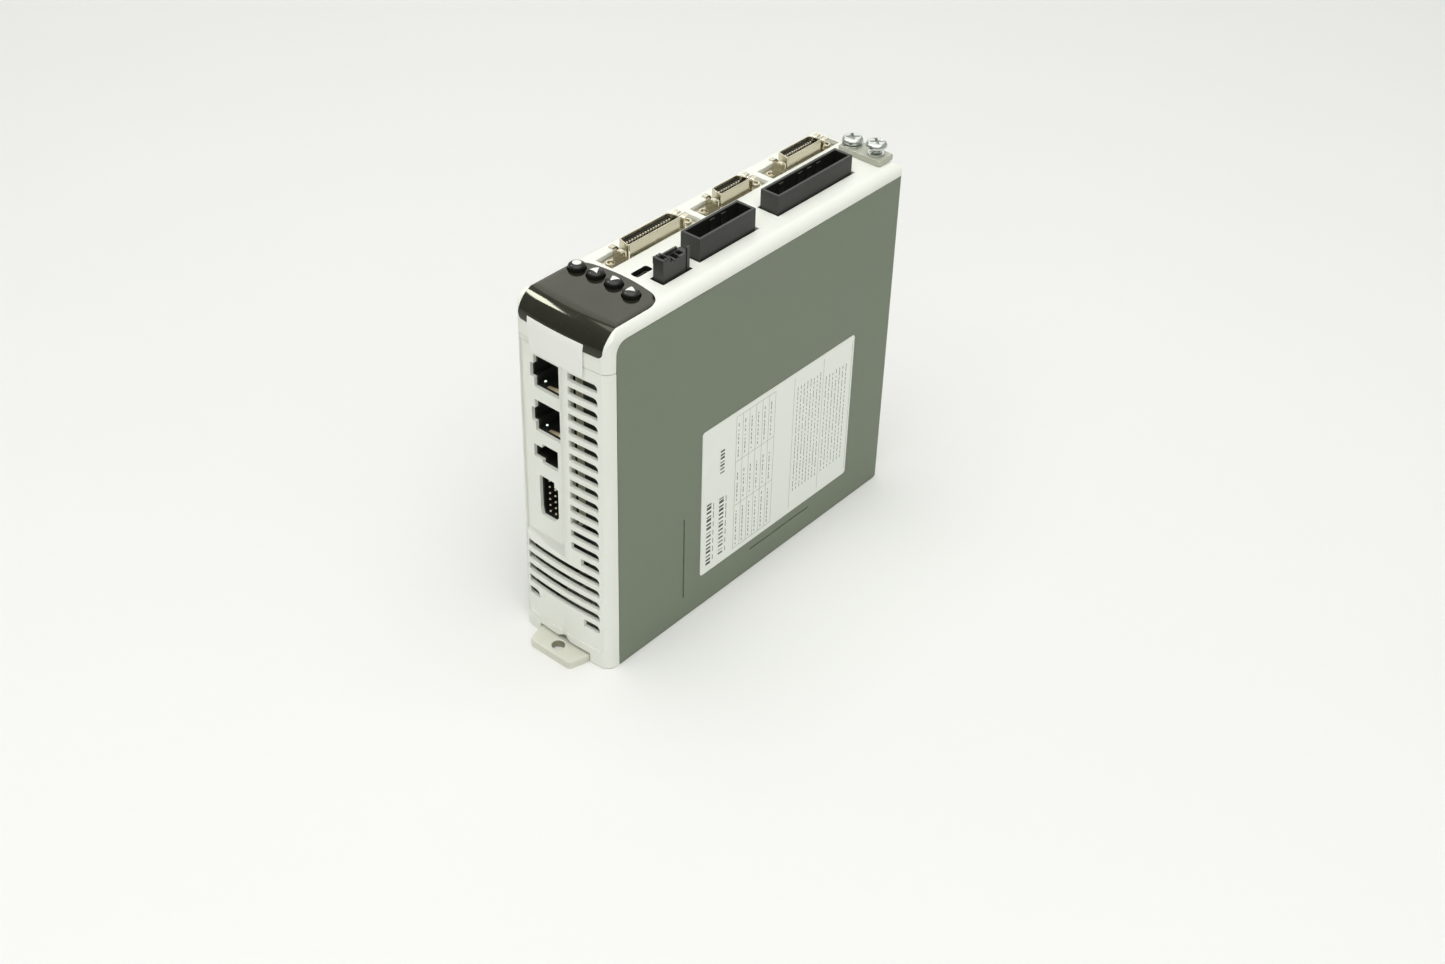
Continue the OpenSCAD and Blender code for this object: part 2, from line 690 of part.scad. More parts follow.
// Shroud of a power header over x and y, with its foot on the power board and coding ribs on one long wall.
module power_header(x, y, top, ribs) {
    inner_x = x[0] + header_wall;
    color(black) union() {
        difference() {
            union() {
                box(x, y, [body_h - 16, top]);
                box([x[0], power_x], [y[0] + 2, y[1] - 2], [body_h - 16, body_h - 8]);
            }
            box([inner_x, x[1] - header_wall], [y[0] + header_wall, y[1] - header_wall],
                [body_h - 6, top + 1]);
        }
        for (k = ribs) box([inner_x - 0.2, inner_x + 0.5], [k - 1.2, k + 1.2], [body_h - 6.5, top - 0.9]);
    }
}
module power_pins(x, y, ways) {
    pitch = (y[1] - y[0] - 2 * header_wall) / ways;
    mid = (x[0] + x[1]) / 2;
    color(zinc) for (k = [0 : ways - 1]) {
        yk = y[0] + header_wall + pitch * (k + 0.5);
        box([mid - 0.6, mid + 0.6], [yk - 0.6, yk + 0.6], [body_h - 6, body_h + 2.8]);
    }
}
module motor_header() { power_header(motor_x, motor_y, motor_top, [-7.7, -2.2]); }
module motor_header_pins() { power_pins(motor_x, motor_y, 5); }
module mains_header() { power_header(mains_x, mains_y, mains_top, [27.7, 37.9, 42.8, 47.9]); }
module mains_header_pins() { power_pins(mains_x, mains_y, 7); }

// Earth bar: top plate over a foot that stands on the chassis post.
module earth_bar() {
    color(cast) difference() {
        union() {
            translate([0, 0, body_h + 0.15]) linear_extrude(bar_rise - 0.15)
                polygon(rounded(rect(bar_x[0], bar_x[1], bar_y[0], bar_y[1]), 0.6, 3));
            box([bar_x[0] + 1.1, bar_x[1] - 1.1], [bar_y[0] + 1.1, 74.3], [129.5, body_h + 0.2]);
        }
        for (x = screw_x) post(x, screw_y, screw_d / 2 + 0.1, 120, bar_z + 1);
    }
}
module ring(x, r_out, r_in, z0, z1) {
    difference() {
        post(x, screw_y, r_out, z0, z1);
        post(x, screw_y, r_in, z0 - 1, z1 + 1);
    }
}
// Flat washers, a wide one and a narrow one.
module flat_washers() {
    color(zinc) for (k = [0, 1])
        ring(screw_x[k], washer_r[k], screw_d / 2 + 0.2, bar_z, bar_z + flat_washer_t);
}
// Lock washer k, carried under its screw head; lift is the height by which the screw stands loosened.
module lock_washer(k, lift) {
    z = bar_z + flat_washer_t + seat_gap + lift;
    color(zinc) difference() {
        ring(screw_x[k], 2.9, screw_d / 2 + 0.06, z, z + lock_washer_t);
        translate([screw_x[k] + 2.5, screw_y, z]) rotate([25, 0, 0]) cube([3, 0.3, 6], center = true);
    }
}
module lock_washer_left() { lock_washer(0, 0); }
module lock_washer_right() { lock_washer(1, screw_loose); }

// Pan-head earth screw k with a cross recess.
module earth_screw(k, lift) {
    r = screw_head_d / 2;
    z = bar_z + flat_washer_t + lock_washer_t + 2 * seat_gap + lift;
    color(zinc) translate([screw_x[k], screw_y, z]) difference() {
        union() {
            rotate_extrude() polygon(concat(
                [[0, 0], [r, 0]],
                arc([r - 1.5, head_h - 1.5], 1.5, 0, 78, 6),
                [[0, head_h]]
            ));
            translate([0, 0, -9]) cylinder(d = screw_d, h = 9.2);
        }
        for (a = [45, 135]) rotate(a) translate([-2.4, -0.5, head_h - 1.4]) cube([4.8, 1, 3]);
    }
}
module earth_screw_left() { earth_screw(0, 0); }
module earth_screw_right() { earth_screw(1, screw_loose); }

// Bus capacitors lying across the drive, with a beaded rim and a sealed foot.
module bus_capacitors() {
    color([0.12, 0.13, 0.20]) for (y = [-46 : 24 : 26]) translate([power_x, y, 27]) rotate([0, -90, 0])
        rotate_extrude() polygon([
            [0, 0], [10.6, 0], [11, 0.6], [11, 3], [10.4, 3.6], [10.4, 4.2], [11, 4.8],
            [11, 27], [10.2, 27.8], [0, 27.8]
        ]);
}
module power_module() {
    color(black) difference() {
        box([power_x + board_t, 17.2], [-32, 12], [20, 52]);
        for (y = [-28.5, 8.5]) translate([power_x, y, 36]) rotate([0, 90, 0]) cylinder(d = 3.4, h = 9);
    }
}
module charge_relay() {
    color(black) box([2.2, power_x], [-60, -46], [60, 79]);
}
// Transformer: core with a wound bobbin between its cheeks.
module supply_transformer() {
    color([0.25, 0.23, 0.20]) {
        box([-6, power_x], [41, 47], [17, 39]);
        box([-6, power_x], [55, 61], [17, 39]);
        box([-4, power_x - 2], [47, 55], [18.5, 37.5]);
    }
}
module line_choke() {
    color([0.55, 0.33, 0.15]) translate([3.6, 34, 78]) rotate([0, 90, 0])
        rotate_extrude() polygon(rounded(rect(4, 11, 0, power_x - 3.6), 2, 4));
}
module board_spacers() {
    color(zinc) for (p = [[-56, 54], [60, 54], [60, 110], [-56, 100]])
        translate([control_x + board_t, p[0], p[1]]) rotate([0, 90, 0])
            cylinder(d = 5.5, h = power_x - control_x - board_t, $fn = 6);
}

chassis();
front_cover();
near_end_cover();
far_end_cover();
right_side_panel();
left_side_panel();
rating_label();
display_window();
mode_button();
up_button();
down_button();
enter_button();
key_switches();
keypad_board();
display_module();
control_board();
power_board();
network_jack_in();
network_jack_out();
network_contacts();
chain_jack();
pin_header();
pin_header_pins();
large_io_shell();
large_io_insert();
large_io_contacts();
small_io_shell();
small_io_insert();
small_io_contacts();
feedback_shell();
feedback_insert();
feedback_contacts();
data_socket();
safety_header();
safety_plug();
motor_header();
motor_header_pins();
mains_header();
mains_header_pins();
earth_bar();
flat_washers();
lock_washer_left();
lock_washer_right();
earth_screw_left();
earth_screw_right();
bus_capacitors();
power_module();
charge_relay();
supply_transformer();
line_choke();
board_spacers();
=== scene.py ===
"""Looks of a slim servo drive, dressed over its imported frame.

The drive lies on its mounting face: +Z is the front face, -Y the connector end and +X the labelled side.
Sizes are written in millimetres and become metres when a mesh is made.
"""

import logging
import math
from dataclasses import dataclass, replace
from enum import Enum
from itertools import product
from typing import Any, Callable, Iterable, Optional, Sequence, Union

import bmesh
import bpy
from bmesh.types import BMesh
from bpy.types import Material, Mesh, NodeTree, Object
from mathutils import Matrix, Vector
from mathutils.kdtree import KDTree


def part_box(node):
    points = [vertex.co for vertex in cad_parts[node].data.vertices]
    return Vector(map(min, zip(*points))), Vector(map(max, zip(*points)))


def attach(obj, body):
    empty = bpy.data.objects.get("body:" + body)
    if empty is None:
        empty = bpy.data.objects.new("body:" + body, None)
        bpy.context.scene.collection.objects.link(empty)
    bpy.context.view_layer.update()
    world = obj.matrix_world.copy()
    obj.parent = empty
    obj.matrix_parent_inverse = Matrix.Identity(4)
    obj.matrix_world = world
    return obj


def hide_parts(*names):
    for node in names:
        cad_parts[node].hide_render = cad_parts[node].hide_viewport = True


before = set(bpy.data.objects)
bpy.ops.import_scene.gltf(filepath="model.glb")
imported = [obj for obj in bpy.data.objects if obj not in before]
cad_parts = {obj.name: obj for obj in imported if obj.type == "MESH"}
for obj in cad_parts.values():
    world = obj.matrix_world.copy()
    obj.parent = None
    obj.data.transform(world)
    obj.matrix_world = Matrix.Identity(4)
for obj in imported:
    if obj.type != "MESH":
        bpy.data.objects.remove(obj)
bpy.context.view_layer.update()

LOG = logging.getLogger("servo_drive")
MM = 0.001
MICRON = 0.000001
QUARTER = math.pi / 2
UP = Vector((0, 0, 1))
# A face looks along an axis if this share of its normal does.
FACING = 0.5
# The inputs of the geometry trees that are no lengths.
PLAIN_INPUTS = ("count", "rows", "turn", "turns", "vary", "seed")

Pair = tuple[float, float]
Triple = tuple[float, float, float]
Colour = Triple
Reshape = Callable[[Vector], Vector]
Socket = bpy.types.NodeSocket
Spot = tuple[Vector, Vector]
Test = Callable[[Vector, Vector], bool]
Value = Union[float, int, bool, Sequence[float], Socket, Material]


def srgb(*parts: int) -> Colour:
    """Turn a screen colour, its parts from 0 to 255, into linear light."""
    return tuple(((v / 255 + 0.055) / 1.055) ** 2.4 if v > 10 else v / 255 / 12.92 for v in parts)


def shade(colour: Colour, factor: float = 1.0) -> tuple[float, ...]:
    """Return a colour made lighter or darker by a factor, with full alpha."""
    return *(min(1.0, c * factor) for c in colour), 1.0


def metres(size: Union[float, Iterable[float]]) -> Any:
    """Return a length or a point in millimetres as metres."""
    return size * MM if isinstance(size, (int, float)) else tuple(v * MM for v in size)


def span(node: str) -> Spot:
    """Return the lowest and the highest corner of a CAD node in millimetres."""
    low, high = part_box(node)
    return Vector(low) / MM, Vector(high) / MM


def placed(name: str, data: Any) -> Object:
    """Put new data into the scene.

    Args:
        name: Name of the object.
        data: Its mesh, camera or light.

    Returns:
        The object, at the origin.
    """
    thing = bpy.data.objects.new(name, data)
    bpy.context.scene.collection.objects.link(thing)
    return thing


def evaluated(piece: Object) -> Mesh:
    """Return a plain mesh of what an object's modifiers make."""
    graph = bpy.context.evaluated_depsgraph_get()
    return bpy.data.meshes.new_from_object(piece.evaluated_get(graph), depsgraph=graph)


class Graph:
    """Places and links the nodes of one tree."""

    SOCKETS = {float: "Float", int: "Int", tuple: "Vector", type(None): "Material"}

    def __init__(self, tree: NodeTree) -> None:
        """Keep the tree that the nodes go into."""
        self.tree = tree

    @classmethod
    def group(cls, name: str, kind: str, inputs: dict[str, Any], outputs: dict[str, str]) -> "Graph":
        """Start a node group with named sockets.

        Args:
            name: Name of the group.
            kind: Type of tree, for shading or for geometry.
            inputs: Starting value of each input; None stands for a material.
            outputs: Socket type of each output.

        Returns:
            The builder of the new group.
        """
        tree = bpy.data.node_groups.new(name, kind)
        for label, value in inputs.items():
            socket_type = "NodeSocket" + cls.SOCKETS[type(value)]
            socket = tree.interface.new_socket(label, in_out="INPUT", socket_type=socket_type)
            if value is not None:
                socket.default_value = value
        for label, socket_type in outputs.items():
            tree.interface.new_socket(label, in_out="OUTPUT", socket_type="NodeSocket" + socket_type)
        graph = cls(tree)
        graph.given = graph.add("NodeGroupInput").outputs
        graph.result = graph.add("NodeGroupOutput").inputs
        return graph

    def add(self, kind: str, inputs: Optional[dict[Any, Value]] = None, **settings: Any) -> bpy.types.Node:
        """Place one node.

        Args:
            kind: Blender's type name of the node.
            inputs: Values or sockets for its inputs, by name or index.
            **settings: Properties of the node.

        Returns:
            The placed node.
        """
        node = self.tree.nodes.new(kind)
        for key, value in settings.items():
            setattr(node, key, value)
        for key, value in (inputs or {}).items():
            self.feed(node.inputs[key], value)
        return node

    def out(self, kind: str, inputs: Optional[dict[Any, Value]] = None, **settings: Any) -> Socket:
        """Place one node and return its first output."""
        return self.add(kind, inputs, **settings).outputs[0]

    def feed(self, socket: Socket, value: Value) -> None:
        """Link a socket to another one, or set its value.

        Args:
            socket: The socket.
            value: The other socket, or the value.
        """
        if isinstance(value, Socket):
            self.tree.links.new(value, socket)
        else:
            socket.default_value = value

    def math(self, operation: str, a: Value, b: Value = 0.0, clamp: bool = False) -> Socket:
        """Return the result of a Math node on two values."""
        return self.out("ShaderNodeMath", {0: a, 1: b}, operation=operation, use_clamp=clamp)

    def times(self, a: Value, b: Value, clamp: bool = False) -> Socket:
        """Return the product of two values."""
        return self.math("MULTIPLY", a, b, clamp)

    def vectors(self, operation: str, a: Value, b: Value) -> Any:
        """Return the outputs of a Vector Math node on two vectors."""
        return self.add("ShaderNodeVectorMath", {0: a, 1: b}, operation=operation).outputs

    def scaled(self, vector: Value, factor: Value) -> Socket:
        """Return a vector times a number."""
        return self.out("ShaderNodeVectorMath", {0: vector, "Scale": factor}, operation="SCALE")

    def split(self, vector: Socket) -> Any:
        """Return the X, Y and Z of a vector."""
        return self.add("ShaderNodeSeparateXYZ", {0: vector}).outputs

    def join(self, **parts: Value) -> Socket:
        """Return a vector made of its X, Y and Z."""
        return self.out("ShaderNodeCombineXYZ", parts)

    def remap(self, value: Value, low: float, high: float, start: float = 0.0, end: float = 1.0) -> Socket:
        """Return a value mapped from one range to another, held at its ends."""
        return self.out("ShaderNodeMapRange", {0: value, 1: low, 2: high, 3: start, 4: end}, clamp=True)

    def place(self) -> Socket:
        """Return the place in the object's own coordinates."""
        return self.add("ShaderNodeTexCoord").outputs["Object"]

    def normal(self) -> Socket:
        """Return the normal of the surface."""
        return self.add("ShaderNodeNewGeometry").outputs["Normal"]

    def noise(self, vector: Value, scale: Value, detail: float) -> Socket:
        """Return the value of a noise texture."""
        return self.out("ShaderNodeTexNoise", {
            "Vector": vector, "Scale": scale, "Detail": detail, "Roughness": 0.55})

    def mix(self, factor: Value, a: Value, b: Value) -> Socket:
        """Return a colour mixed from two others."""
        return self.add("ShaderNodeMix", {0: factor, 6: a, 7: b}, data_type="RGBA").outputs[2]


class Library(Enum):
    """Node groups that are each built on their first use."""

    def tree(self) -> NodeTree:
        """Return the group, built on its first use."""
        found = bpy.data.node_groups.get(self.value)
        return found or getattr(self, "_build_" + self.name.lower())().tree


class Effect(Library):
    """Shader groups that the finishes share."""

    GRAIN = "moulded_grain"
    DUST = "settled_dust"
    WEAR = "edge_wear"
    SCRATCH = "fine_scratches"

    def _start(self, inputs: dict[str, float], *outputs: str) -> Graph:
        """Open the group with its inputs and outputs."""
        return Graph.group(self.value, "ShaderNodeTree", inputs, dict.fromkeys(outputs, "Float"))

    def _end(self, g: Graph, mask: Socket) -> Graph:
        """Weigh the mask with the group's Amount input and end the group."""
        g.feed(g.result["Mask"], g.times(mask, g.given["Amount"], True))
        return g

    def _build_grain(self) -> Graph:
        """Build the fine relief of a mould or casting, with a broad unevenness of colour.

        Returns:
            The builder of the group.
        """
        g = self._start({"Scale": 2500.0, "Broad Scale": 30.0}, "Height", "Mottle")
        place = g.place()
        g.feed(g.result["Height"], g.noise(place, g.given["Scale"], 3.0))
        g.feed(g.result["Mottle"], g.remap(g.noise(place, g.given["Broad Scale"], 4.0), 0.3, 0.7))
        return g

    def _build_dust(self) -> Graph:
        """Build dust that lies on what faces upwards, in patches.

        Returns:
            The builder of the group.
        """
        g = self._start({"Amount": 0.2, "Patch Scale": 90.0}, "Mask")
        facing = g.remap(g.split(g.normal())["Z"], 0.25, 0.95)
        patch = g.remap(g.noise(g.place(), g.given["Patch Scale"], 5.0), 0.35, 0.75, 0.15)
        return self._end(g, g.times(facing, patch))

    def _build_wear(self) -> Graph:
        """Build rubbed edges: where a rounded normal leaves the face's own, broken up by noise.

        Returns:
            The builder of the group.
        """
        g = self._start({"Radius": 0.0005, "Amount": 0.4, "Breakup Scale": 260.0}, "Mask")
        rounded = g.out("ShaderNodeBevel", {"Radius": g.given["Radius"]}, samples=4)
        edge = g.remap(g.vectors("DOT_PRODUCT", rounded, g.normal())["Value"], 0.985, 0.82)
        broken = g.remap(g.noise(g.place(), g.given["Breakup Scale"], 4.0), 0.42, 0.66)
        return self._end(g, g.times(edge, broken))

    def _build_scratch(self) -> Graph:
        """Build hairlines in two directions, from stretched noise.

        Returns:
            The builder of the group.
        """
        g = self._start({"Amount": 0.3, "Scale": 900.0}, "Mask")
        lines = []
        for turn in ((0.4, 0.9, 0.3), (1.3, 0.2, 1.1)):
            laid = g.out("ShaderNodeMapping", {
                "Vector": g.place(), "Rotation": turn, "Scale": (1.0, 0.02, 1.0)})
            lines.append(g.remap(g.noise(laid, g.given["Scale"], 1.0), 0.68, 0.74))
        return self._end(g, g.math("MAXIMUM", *lines))


@dataclass(frozen=True)
class Finish:
    """One surface finish and the procedural material that shows it.

    Relief depth is in micrometres, and the grain scales are features per metre.
    """

    name: str
    slot: str
    colour: Colour
    roughness: float
    metallic: float = 0.0
    specular: float = 0.5
    tint: Colour = (1.0, 1.0, 1.0)
    ior: float = 1.5
    coat: float = 0.0
    grain_scale: float = 2600.0
    broad_scale: float = 35.0
    depth: float = 8.0
    mottle: float = 0.03
    rough_spread: float = 0.06
    dust: float = 0.0
    dust_colour: Colour = (0.55, 0.54, 0.50)
    wear: float = 0.0
    worn_colour: Colour = (0.6, 0.6, 0.58)
    scratch: float = 0.0
    glow: float = 0.0

    def material(self) -> Material:
        """Return the material, built on its first use."""
        found = bpy.data.materials.get("finish_" + self.name)
        return found or self._build(bpy.data.materials.new("finish_" + self.name))

    def _build(self, material: Material) -> Material:
        """Fill the material's tree.

        Args:
            material: A new, empty material.

        Returns:
            The same material.
        """
        material.use_nodes = True
        material.node_tree.nodes.clear()
        g = Graph(material.node_tree)
        grain = self._effect(g, Effect.GRAIN, {"Scale": self.grain_scale, "Broad Scale": self.broad_scale})
        colour = self._pattern(g, grain)
        smooth, dull = max(self.roughness - self.rough_spread, 0.01), self.roughness + self.rough_spread
        rough = g.remap(grain["Mottle"], 0.0, 1.0, smooth, dull)
        for effect, amount, over, cover, dulling in (
                (Effect.WEAR, self.wear, self.worn_colour, 1.0, 0.0),
                (Effect.SCRATCH, self.scratch, self.worn_colour, 0.3, 0.25),
                (Effect.DUST, self.dust, self.dust_colour, 1.0, 0.5)):
            if amount:
                mask = self._effect(g, effect, {"Amount": amount})["Mask"]
                colour = g.mix(g.times(mask, cover), colour, shade(over))
                rough = g.math("ADD", rough, g.times(mask, dulling), True)
        relief = {"Height": grain["Height"], "Distance": self.depth * MICRON, "Strength": 1.0}
        surface = g.out("ShaderNodeBsdfPrincipled", {
            "Base Color": colour, "Roughness": rough, "Normal": g.out("ShaderNodeBump", relief),
            "Metallic": self.metallic, "IOR": self.ior, "Specular IOR Level": self.specular,
            "Specular Tint": shade(self.tint), "Coat Weight": self.coat, "Coat Roughness": 0.05,
            "Emission Color": shade(self.colour), "Emission Strength": self.glow})
        g.add("ShaderNodeOutputMaterial", {"Surface": surface})
        return material

    @staticmethod
    def _effect(g: Graph, effect: Effect, values: dict[str, float]) -> Any:
        """Place a shared group with its inputs set, and return its outputs."""
        return g.add("ShaderNodeGroup", values, node_tree=effect.tree()).outputs

    def _pattern(self, g: Graph, grain: Any) -> Socket:
        """Return the base colour, a little uneven over the surface."""
        dark, pale = (shade(self.colour, 1 + part) for part in (-self.mottle, self.mottle))
        return g.mix(grain["Mottle"], dark, pale)


@dataclass(frozen=True)
class BoardFinish(Finish):
    """Solder mask over copper: fields of track and clear ground."""

    track_colour: Colour = (0.16, 0.25, 0.17)

    def _pattern(self, g: Graph, grain: Any) -> Socket:
        """Return the board's colour, with tracks under the mask.

        Args:
            g: Builder of the material.
            grain: Outputs of the grain group.

        Returns:
            The colour socket.
        """
        ground, black, white = super()._pattern(g, grain), (0, 0, 0, 1), (1, 1, 1, 1)
        laid = g.out("ShaderNodeMapping", {"Vector": g.place(), "Rotation": (QUARTER, 0, QUARTER)})
        cells = g.out("ShaderNodeTexBrick", {
            "Vector": laid, "Scale": 180.0, "Mortar Size": 0.035, "Color1": black, "Color2": black,
            "Mortar": white})
        return g.mix(cells, ground, shade(self.track_colour))


class Finishes:
    """The finishes of the drive, by what they are on."""

    WHITE = Finish("white_moulding", "white_plastic", srgb(242, 244, 236), 0.42, grain_scale=3200, depth=6,
                   mottle=0.012, dust=0.08, dust_colour=srgb(196, 192, 178), wear=0.12,
                   worn_colour=srgb(205, 203, 192))
    # The white moulding tinted olive: painted shade for the ribs that lie in shade behind the slots.
    SHADE = Finish("inner_ribs_painted_shade", "white_plastic", srgb(246, 243, 216), 0.50, grain_scale=3200, depth=6)
    GREY = Finish("grey_panel", "grey_plastic", srgb(119, 129, 111), 0.52, grain_scale=3600, depth=10,
                  mottle=0.035, dust=0.06, wear=0.30, worn_colour=srgb(150, 157, 142), scratch=0.25)
    CAST = Finish("cast_tab", "cast_metal", srgb(222, 222, 209), 0.50, metallic=0.35, grain_scale=1500,
                  depth=22, mottle=0.07, dust=0.10, wear=0.45, worn_colour=srgb(234, 233, 222))
    # The cast metal darkened: painted shade for the walls inside the tab's holes.
    BORE_SHADE = replace(CAST, name="tab_bore_painted_shade", colour=srgb(160, 159, 137), roughness=0.55, metallic=0.2, wear=0.0)
    BAR = replace(CAST, name="earth_bar", colour=srgb(193, 194, 180), wear=0.35,
                  worn_colour=srgb(214, 213, 202))
    LABEL = Finish("label_film", "label_film", srgb(244, 248, 241), 0.34, grain_scale=900, depth=3,
                   mottle=0.015, coat=0.2)
    INK = Finish("label_ink", "label_film", srgb(126, 131, 124), 0.45, grain_scale=1800, depth=3, mottle=0.12)
    BARS = replace(INK, name="label_bars", colour=srgb(66, 69, 64))
    TAPE = Finish("paper_tape", "label_film", srgb(246, 247, 242), 0.48, grain_scale=1200, depth=6,
                  mottle=0.012)
    WINDOW = Finish("smoked_window", "smoked_window", srgb(27, 27, 21), 0.07, ior=1.52, tint=(1.0, 1.0, 0.76),
                    grain_scale=300, depth=1.2, mottle=0.06, rough_spread=0.02, dust=0.05,
                    dust_colour=srgb(150, 146, 132), scratch=0.10, worn_colour=srgb(110, 106, 96))
    BUTTON = Finish("button_plastic", "button_plastic", srgb(28, 28, 25), 0.26, specular=0.35,
                    grain_scale=2400, depth=5, mottle=0.05, dust=0.06)
    MARK = Finish("button_mark", "button_plastic", srgb(240, 241, 235), 0.40, grain_scale=2400, depth=4)
    BLACK = Finish("black_moulding", "black_plastic", srgb(42, 43, 39), 0.46, specular=0.62, grain_scale=2800,
                   depth=10, mottle=0.06, dust=0.06, dust_colour=srgb(140, 138, 126), wear=0.22,
                   worn_colour=srgb(100, 100, 93))
    # Black moulding of ports and inserts. The same colour is also painted shade on the front cover's cut-out
    # walls, on the gap between the ribs behind the slots and inside the power headers.
    PORT_AND_SHADE = Finish("port_moulding_and_painted_shade", "black_plastic", srgb(30, 31, 28), 0.40, grain_scale=2800, mottle=0.05)
    # A glowing pale dot, no lamp: painted highlight for the glint inside each network jack.
    GLINT_GLOW = Finish("jack_glint_painted_highlight", "black_plastic", srgb(228, 244, 228), 0.10, grain_scale=600, depth=2, glow=1.0)
    GOLD = Finish("gold_contacts", "gold_contacts", srgb(244, 222, 172), 0.30, metallic=1.0, grain_scale=2400,
                  depth=3, mottle=0.06)
    # Shaded and lit copies of the gold: near-black shanks are painted shade, near-white tips a painted
    # highlight.
    SHADED_SHANK = replace(GOLD, name="shanks_painted_shade", colour=srgb(44, 39, 30), roughness=0.50, metallic=0.4,
                    mottle=0.08)
    LIT_TIP = replace(GOLD, name="tips_painted_highlight", colour=srgb(250, 240, 214), roughness=0.36, metallic=0.1,
                  mottle=0.05)
    NICKEL = Finish("nickel_shell", "nickel_shell", srgb(208, 202, 182), 0.25, metallic=1.0, grain_scale=1400,
                    depth=6, mottle=0.10, rough_spread=0.10, dust=0.05, scratch=0.15,
                    worn_colour=srgb(186, 178, 152))
    LINING = replace(NICKEL, name="jack_lining", colour=srgb(200, 186, 156), roughness=0.42, metallic=0.4,
                     depth=5, dust=0.0, scratch=0.0)
    ZINC = Finish("zinc_steel", "zinc_steel", srgb(212, 216, 211), 0.34, metallic=1.0, grain_scale=1900,
                  depth=6, mottle=0.07, rough_spread=0.10, wear=0.2, worn_colour=srgb(226, 228, 226),
                  scratch=0.2)
    RECESS = Finish("screw_recess", "zinc_steel", srgb(206, 210, 205), 0.45, metallic=0.25, grain_scale=1900,
                    depth=5, mottle=0.06)
    BOARD = BoardFinish("circuit_board", "circuit_board", srgb(74, 88, 82), 0.40, grain_scale=1200, depth=4,
                        mottle=0.08, track_colour=srgb(104, 112, 98))
    INNER = Finish("inner_plastic", "inner_plastic", srgb(52, 52, 50), 0.50, grain_scale=2200, depth=10,
                   mottle=0.05, dust=0.12)
    CAN = Finish("capacitor_can", "capacitor_can", srgb(38, 38, 41), 0.40, grain_scale=1500, depth=4,
                 mottle=0.06, coat=0.3, dust=0.12)
    WINDING = Finish("winding", "winding", srgb(150, 98, 52), 0.42, metallic=0.35, grain_scale=1400, depth=50,
                     mottle=0.16, dust=0.10)


